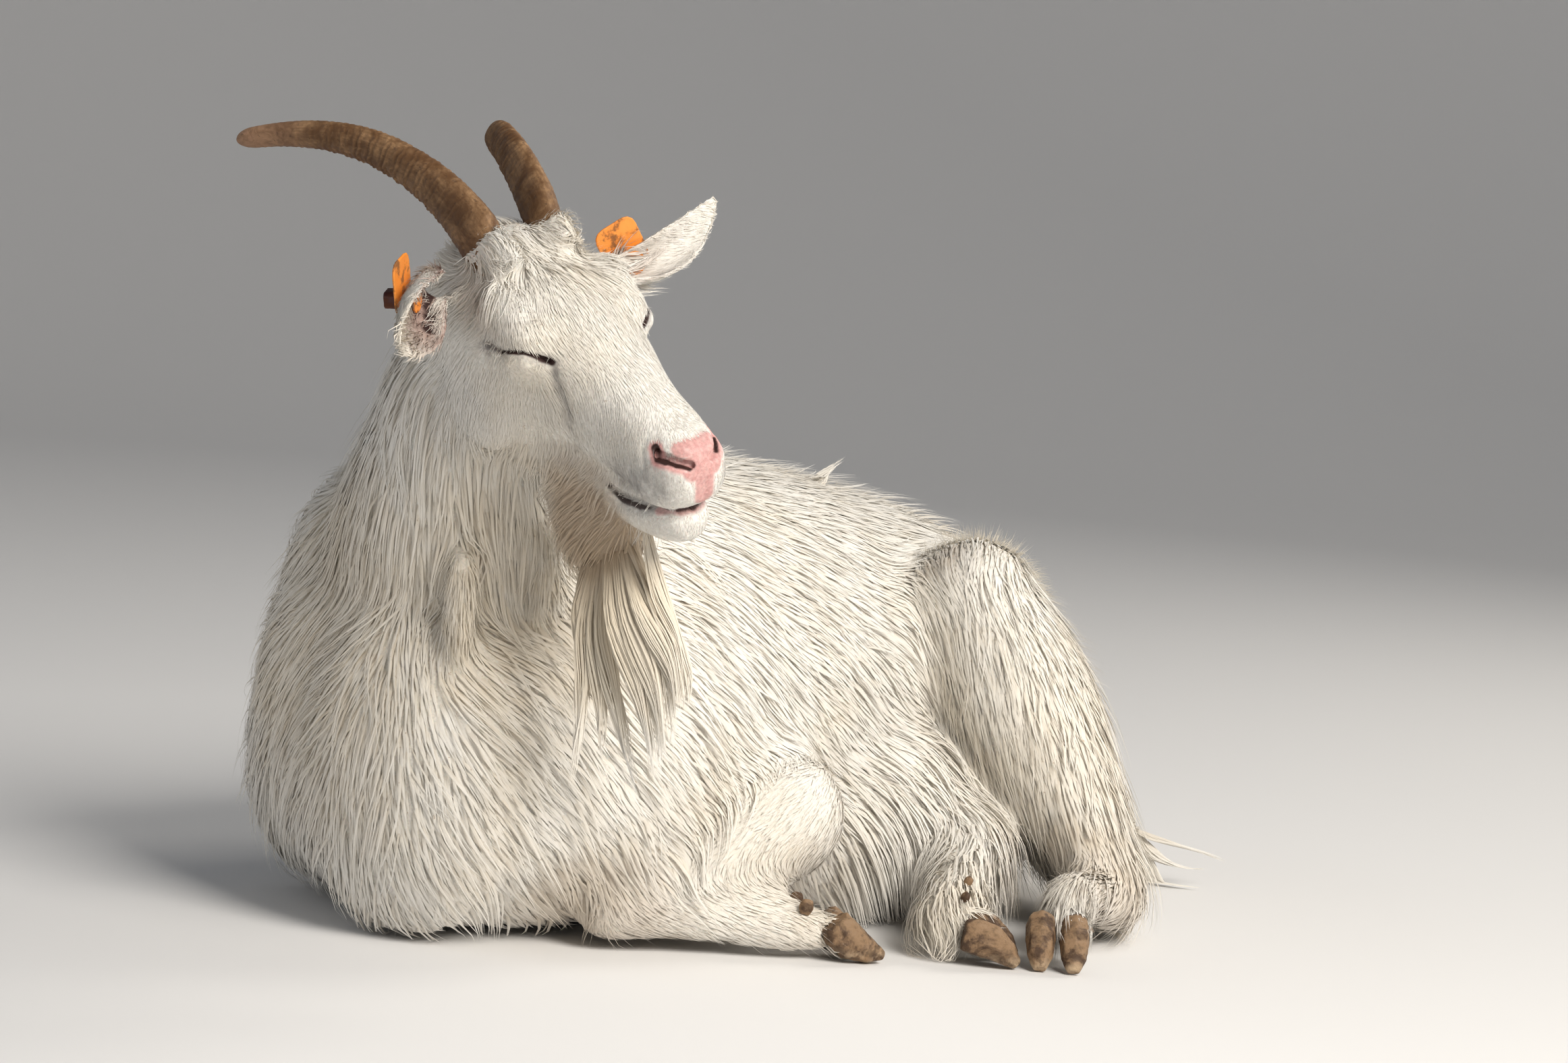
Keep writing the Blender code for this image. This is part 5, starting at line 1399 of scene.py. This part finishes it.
for name, bend in HORN_BENDS.items():
    t = np.linspace(0, 1, HORN_RINGS)
    centre = bezier(bend, t)
    along = unit(np.gradient(centre, axis=0))
    across = unit(np.cross(along, np.array((0.5, 0.0, 1.0))))
    rise = unit(np.cross(across, along))
    radius = (HORN_BASE_RADIUS + (HORN_TIP_RADIUS - HORN_BASE_RADIUS) * t ** 1.25) * HORN_THICKNESS[name]
    radius = radius * np.sqrt(1 - np.clip((t - HORN_TIP_FROM) / (1.002 - HORN_TIP_FROM), 0, 1) ** 2)
    keel = HORN_KEEL + HORN_KEEL_AT_ROOT * np.clip(1 - t / 0.45, 0, 1)
    keel = keel * np.interp(t, (0.0, 0.06, 0.15), (0.45, 0.75, 1.0))
    turn = np.arange(HORN_SIDES) * math.tau / HORN_SIDES
    cosine, sine = np.cos(turn)[None, :, None], np.sin(turn)[None, :, None]
    tall = np.where(sine > 0, keel[:, None, None], 1.0) * radius[:, None, None]
    out = across[:, None] * cosine * HORN_HALF_WIDTH * radius[:, None, None] + rise[:, None] * sine * tall
    ring_place = centre[:, None] + out
    span = np.linalg.norm(np.diff(centre, axis=0), axis=1).sum()
    wobble = t[:, None] * span + 0.0012 * np.sin(turn * 3 + 1.0)[None] + 0.0008 * np.sin(turn * 7)[None]
    rings = np.sin(wobble * math.tau / 0.0058) + 0.8 * np.sin(wobble * math.tau / 0.0041 + 2.0) + 0.5 * wave(
        ring_place.reshape(-1, 3), 0.006, 11
    ).reshape(wobble.shape)
    strong = np.interp(t, (0.0, 0.22, 0.38, 0.62, 0.78, 1.0), (0.2, 0.5, 1.0, 1.0, 0.35, 0.05))[:, None]
    strong = strong * np.interp(np.sin(turn), (-1, 0.1, 1), (1.3, 1.0, 0.5))[None]
    ring_place = ring_place + unit(out) * (rings * strong * RING_HEIGHT)[..., None]
    horn_points = HEAD_PLACE + ring_place.reshape(-1, 3) @ HEAD_AXES
    start = np.arange(HORN_RINGS - 1)[:, None] * HORN_SIDES
    here, after = np.arange(HORN_SIDES), (np.arange(HORN_SIDES) + 1) % HORN_SIDES
    quads = np.stack([start + here, start + after, start + after + HORN_SIDES, start + here + HORN_SIDES], -1)
    horn_mesh = mesh_of(name + "_sheath", horn_points, quads.reshape(-1, 4))
    bm = bmesh.new()
    bm.from_mesh(horn_mesh)
    bmesh.ops.holes_fill(bm, edges=[edge for edge in bm.edges if edge.is_boundary])
    bmesh.ops.recalc_face_normals(bm, faces=bm.faces)
    bm.to_mesh(horn_mesh)
    bm.free()
    horn_mesh.shade_smooth()
    ring_uv = horn_mesh.uv_layers.new(name="sheath")
    indices = np.empty(len(horn_mesh.loops), np.int32)
    horn_mesh.loops.foreach_get("vertex_index", indices)
    level, around = indices // HORN_SIDES, indices % HORN_SIDES
    ring_uv.data.foreach_set("uv", np.stack([
        np.abs(around / HORN_SIDES - 0.5) * 2, level / HORN_RINGS * span
    ], 1).astype(np.float32).ravel())
    # the underside gets painted shade in red-brown; the tip is worn pale; the crests of the growth rings are
    # lighter
    under = np.clip(-np.sin(turn) * 1.4 - 0.1, 0, 1)[None] * np.interp(t, (0, 0.75, 1), (1, 0.7, 0.1))[:, None]
    crests = np.clip(rings, 0, 1.5) * strong * 0.6
    pale = np.interp(t, (0.78, 0.97), (0, 1))[:, None] * np.ones(HORN_SIDES)[None]
    horn_faces = np.stack([under.ravel(), pale.ravel(), crests.ravel(), np.ones(under.size)], 1)
    paint_points(horn_mesh, "sheath_face", horn_faces)
    horn_mesh.materials.append(horn_material)
    placed(name + "_sheath", horn_mesh, "horn", name)


# ==== Feet: two claws and two dewclaws on each limb ====
# Each claw is a boot of tan and brown horn with a paler worn edge at the sole. Dried mud cakes its wall, and
# the hair of the pastern ends over its rim.

CLAW_VOXEL = 0.0010
CLAW_TAN = (0.27, 0.17, 0.095, 1)
CLAW_DARK = (0.075, 0.042, 0.024, 1)
CLAW_WORN = (0.50, 0.37, 0.24, 1)
CLAW_MUD = (0.155, 0.105, 0.066, 1)


def rounded(name, voxel, rounds, grow=0.0, rough=0.0):
    """A CAD node's shape remade with rounded edges and an even mesh."""
    node_points, node_faces = node_arrays(name, grow)
    obj = added("rough", mesh_of("rough", node_points, node_faces))
    remesh = obj.modifiers.new("remesh", "REMESH")
    remesh.mode = "VOXEL"
    remesh.voxel_size = voxel
    new_points, new_faces = read_mesh(evaluated(obj))
    new_points = relaxed(new_points, edges_of(new_faces), rounds)
    if rough:
        lump = wave(new_points, 0.006, 21) * wave(new_points, 0.014, 22)
        new_points = new_points + point_normals(new_points, new_faces) * (lump * rough)[:, None]
    return mesh_of(name + "_piece", new_points, new_faces)


def stands_for(name, mesh, material, slot):
    """Places a finished mesh instead of its CAD node."""
    mesh.materials.append(material)
    placed(mesh.name, mesh, slot, name)


claw_material, claw_shader = new_material("hoof", CLAW_TAN, 0.72, 0.3)
tree = claw_material.node_tree
place = object_place(tree)
colour = blended(tree, remap(tree, noise(tree, place, 34.0, 5.0, 0.66, 0.3), 0.44, 0.56), CLAW_TAN, CLAW_DARK)
height = tree.nodes.new("ShaderNodeSeparateXYZ")
tree.links.new(place, height.inputs["Vector"])
worn = maths(tree, "MULTIPLY", remap(tree, height.outputs["Z"], 0.016, 0.004), remap(
    tree, noise(tree, place, 90.0, 3.0), 0.40, 0.62
))
colour = blended(tree, maths(tree, "MULTIPLY", worn, 0.85), colour, CLAW_WORN)
cake = noise(tree, place, 140.0, 5.0, 0.7)
colour = blended(tree, remap(tree, cake, 0.52, 0.66, 0.0, 0.8), colour, CLAW_MUD)
tree.links.new(colour, claw_shader.inputs["Base Color"])
tree.links.new(remap(tree, cake, 0.45, 0.62, 0.52, 0.92), claw_shader.inputs["Roughness"])
roughened(tree, claw_shader, noise(tree, place, 260.0, 5.0, 0.68), 0.8, 0.0014)
for name in sorted(nodes):
    if name.startswith("claw_"):
        stands_for(name, rounded(name, CLAW_VOXEL, 3, rough=0.0005), claw_material, "hoof")
    if name.startswith("dewclaw_"):
        sunk = -0.0022 if name.startswith("dewclaw_hind") else 0.0
        stands_for(name, rounded(name, CLAW_VOXEL, 3, grow=sunk, rough=0.0004), claw_material, "hoof")

# The hair that leaves each pastern over the rims of its claws, and how far it reaches down each foot
CUFF_HAIRS = 430
CUFF_BREADTH = 0.0015
CUFF_LENGTH = {"fore_leg_left": 0.030, "fore_leg_right": 0.028, "hind_leg_left": 0.050, "hind_leg_right": 0.036}
CUFF_RINGS = 3
for limb, length in CUFF_LENGTH.items():
    shells = [node_arrays(f"claw_{limb.replace('_leg', '')}_{part}") for part in ("inner", "outer")]
    claw_points, claw_faces, _ = joined(shells)
    claw_shape = shape_of(claw_points, claw_faces)
    claw_middle = claw_points.mean(0)
    toe_way = np.linalg.svd(shells[0][0] - shells[0][0].mean(0), full_matrices=False)[2][0]
    toe_way = toe_way * np.sign((claw_middle - np.array(LIMB_LINES[limb][-2])) @ toe_way)
    foot_end = np.array(LIMB_LINES[limb][-1])
    nearby = part_is(limb) & (np.linalg.norm(middle - foot_end, axis=1) < 0.055) & (facing[:, 2] > -0.5)
    rim_gap = touched(claw_shape, middle[nearby])[3]
    rim = np.zeros(len(faces), bool)
    rim[nearby] = rim_gap < max(0.010, np.quantile(rim_gap, 0.30))
    pick, share = scatter(CUFF_HAIRS, rim)
    root = carried(points, pick, share)
    up = unit(carried(normals, pick, share))
    heading = unit(toe_way + rng.normal(0, 0.13, (CUFF_HAIRS, 3)))
    long = length * rng.uniform(0.5, 1.1, CUFF_HAIRS)
    lift = rng.uniform(0.4, 1.0, CUFF_HAIRS)
    spine, ups = [root - up * ROOT_SUNK], [up]
    for ring in range(1, CUFF_RINGS + 1):
        ahead = root + up * 0.0010 + heading * (long * ring / CUFF_RINGS)[:, None]
        wall, out, _, _ = touched(claw_shape, ahead)
        clear = 0.0012 + 0.0022 * lift * ring / CUFF_RINGS
        inside = ((ahead - wall) * out).sum(1) < clear
        ahead[inside] = wall[inside] + out[inside] * clear[inside][:, None]
        spine.append(ahead)
        ups.append(unit(out + up))
    spine = clumped(np.stack(spine, 1), root, 6, 0.3)
    spine[..., 2] = np.maximum(spine[..., 2], LONG_FLOOR_GAP)
    blades(
        f"coat_{limb}_cuff", spine, np.stack(ups, 1), CUFF_BREADTH * rng.uniform(0.6, 1.2, CUFF_HAIRS),
        carried(tone, pick, share), root_uv(root), (0.8, 1.0, 0.6),
    )


# ==== Ear tags: an orange plastic flap behind each ear, its button, and the pin with its disc ====
# The parts are moulded in soft plastic and snapped together through the ear. Mud dries on them in brown
# blotches, and the edges are rubbed smooth. Nothing is printed on them.

TAG_ORANGE = (0.80, 0.245, 0.030, 1)
TAG_MAROON = (0.060, 0.009, 0.004, 1)
TAG_MUD = (0.14, 0.062, 0.024, 1)
TAG_FADED = (0.86, 0.36, 0.075, 1)


def tag_plastic(name, paint, dirt):
    """Moulded plastic with dried mud on it."""
    material, shader = new_material(name, paint, 0.42, 0.45)
    tree = material.node_tree
    place = object_place(tree)
    cloud = noise(tree, place, 75.0, 5.0, 0.66, 0.0)
    blot = maths(tree, "MULTIPLY", remap(tree, cloud, 0.50, 0.64), dirt)
    if paint == TAG_ORANGE:
        paint = blended(tree, remap(tree, noise(tree, place, 60.0, 2.0), 0.35, 0.65, 0.0, 0.35), paint, TAG_FADED)
    tree.links.new(blended(tree, blot, paint, TAG_MUD), shader.inputs["Base Color"])
    tree.links.new(remap(tree, cloud, 0.45, 0.62, 0.36, 0.85), shader.inputs["Roughness"])
    roughened(tree, shader, cloud, 0.3, 0.0004)
    return material


tag_orange = tag_plastic("tag_plastic", TAG_ORANGE, 0.85)
tag_maroon = tag_plastic("button_plastic", TAG_MAROON, 0.35)
for side in ("right", "left"):
    stands_for(f"tag_flap_{side}", rounded(f"tag_flap_{side}", 0.0008, 2), tag_orange, "tag_plastic")
    stands_for(f"tag_pin_{side}", rounded(f"tag_pin_{side}", 0.0005, 2), tag_orange, "tag_plastic")
    stands_for(f"tag_button_{side}", rounded(f"tag_button_{side}", 0.0006, 3), tag_maroon, "button_plastic")
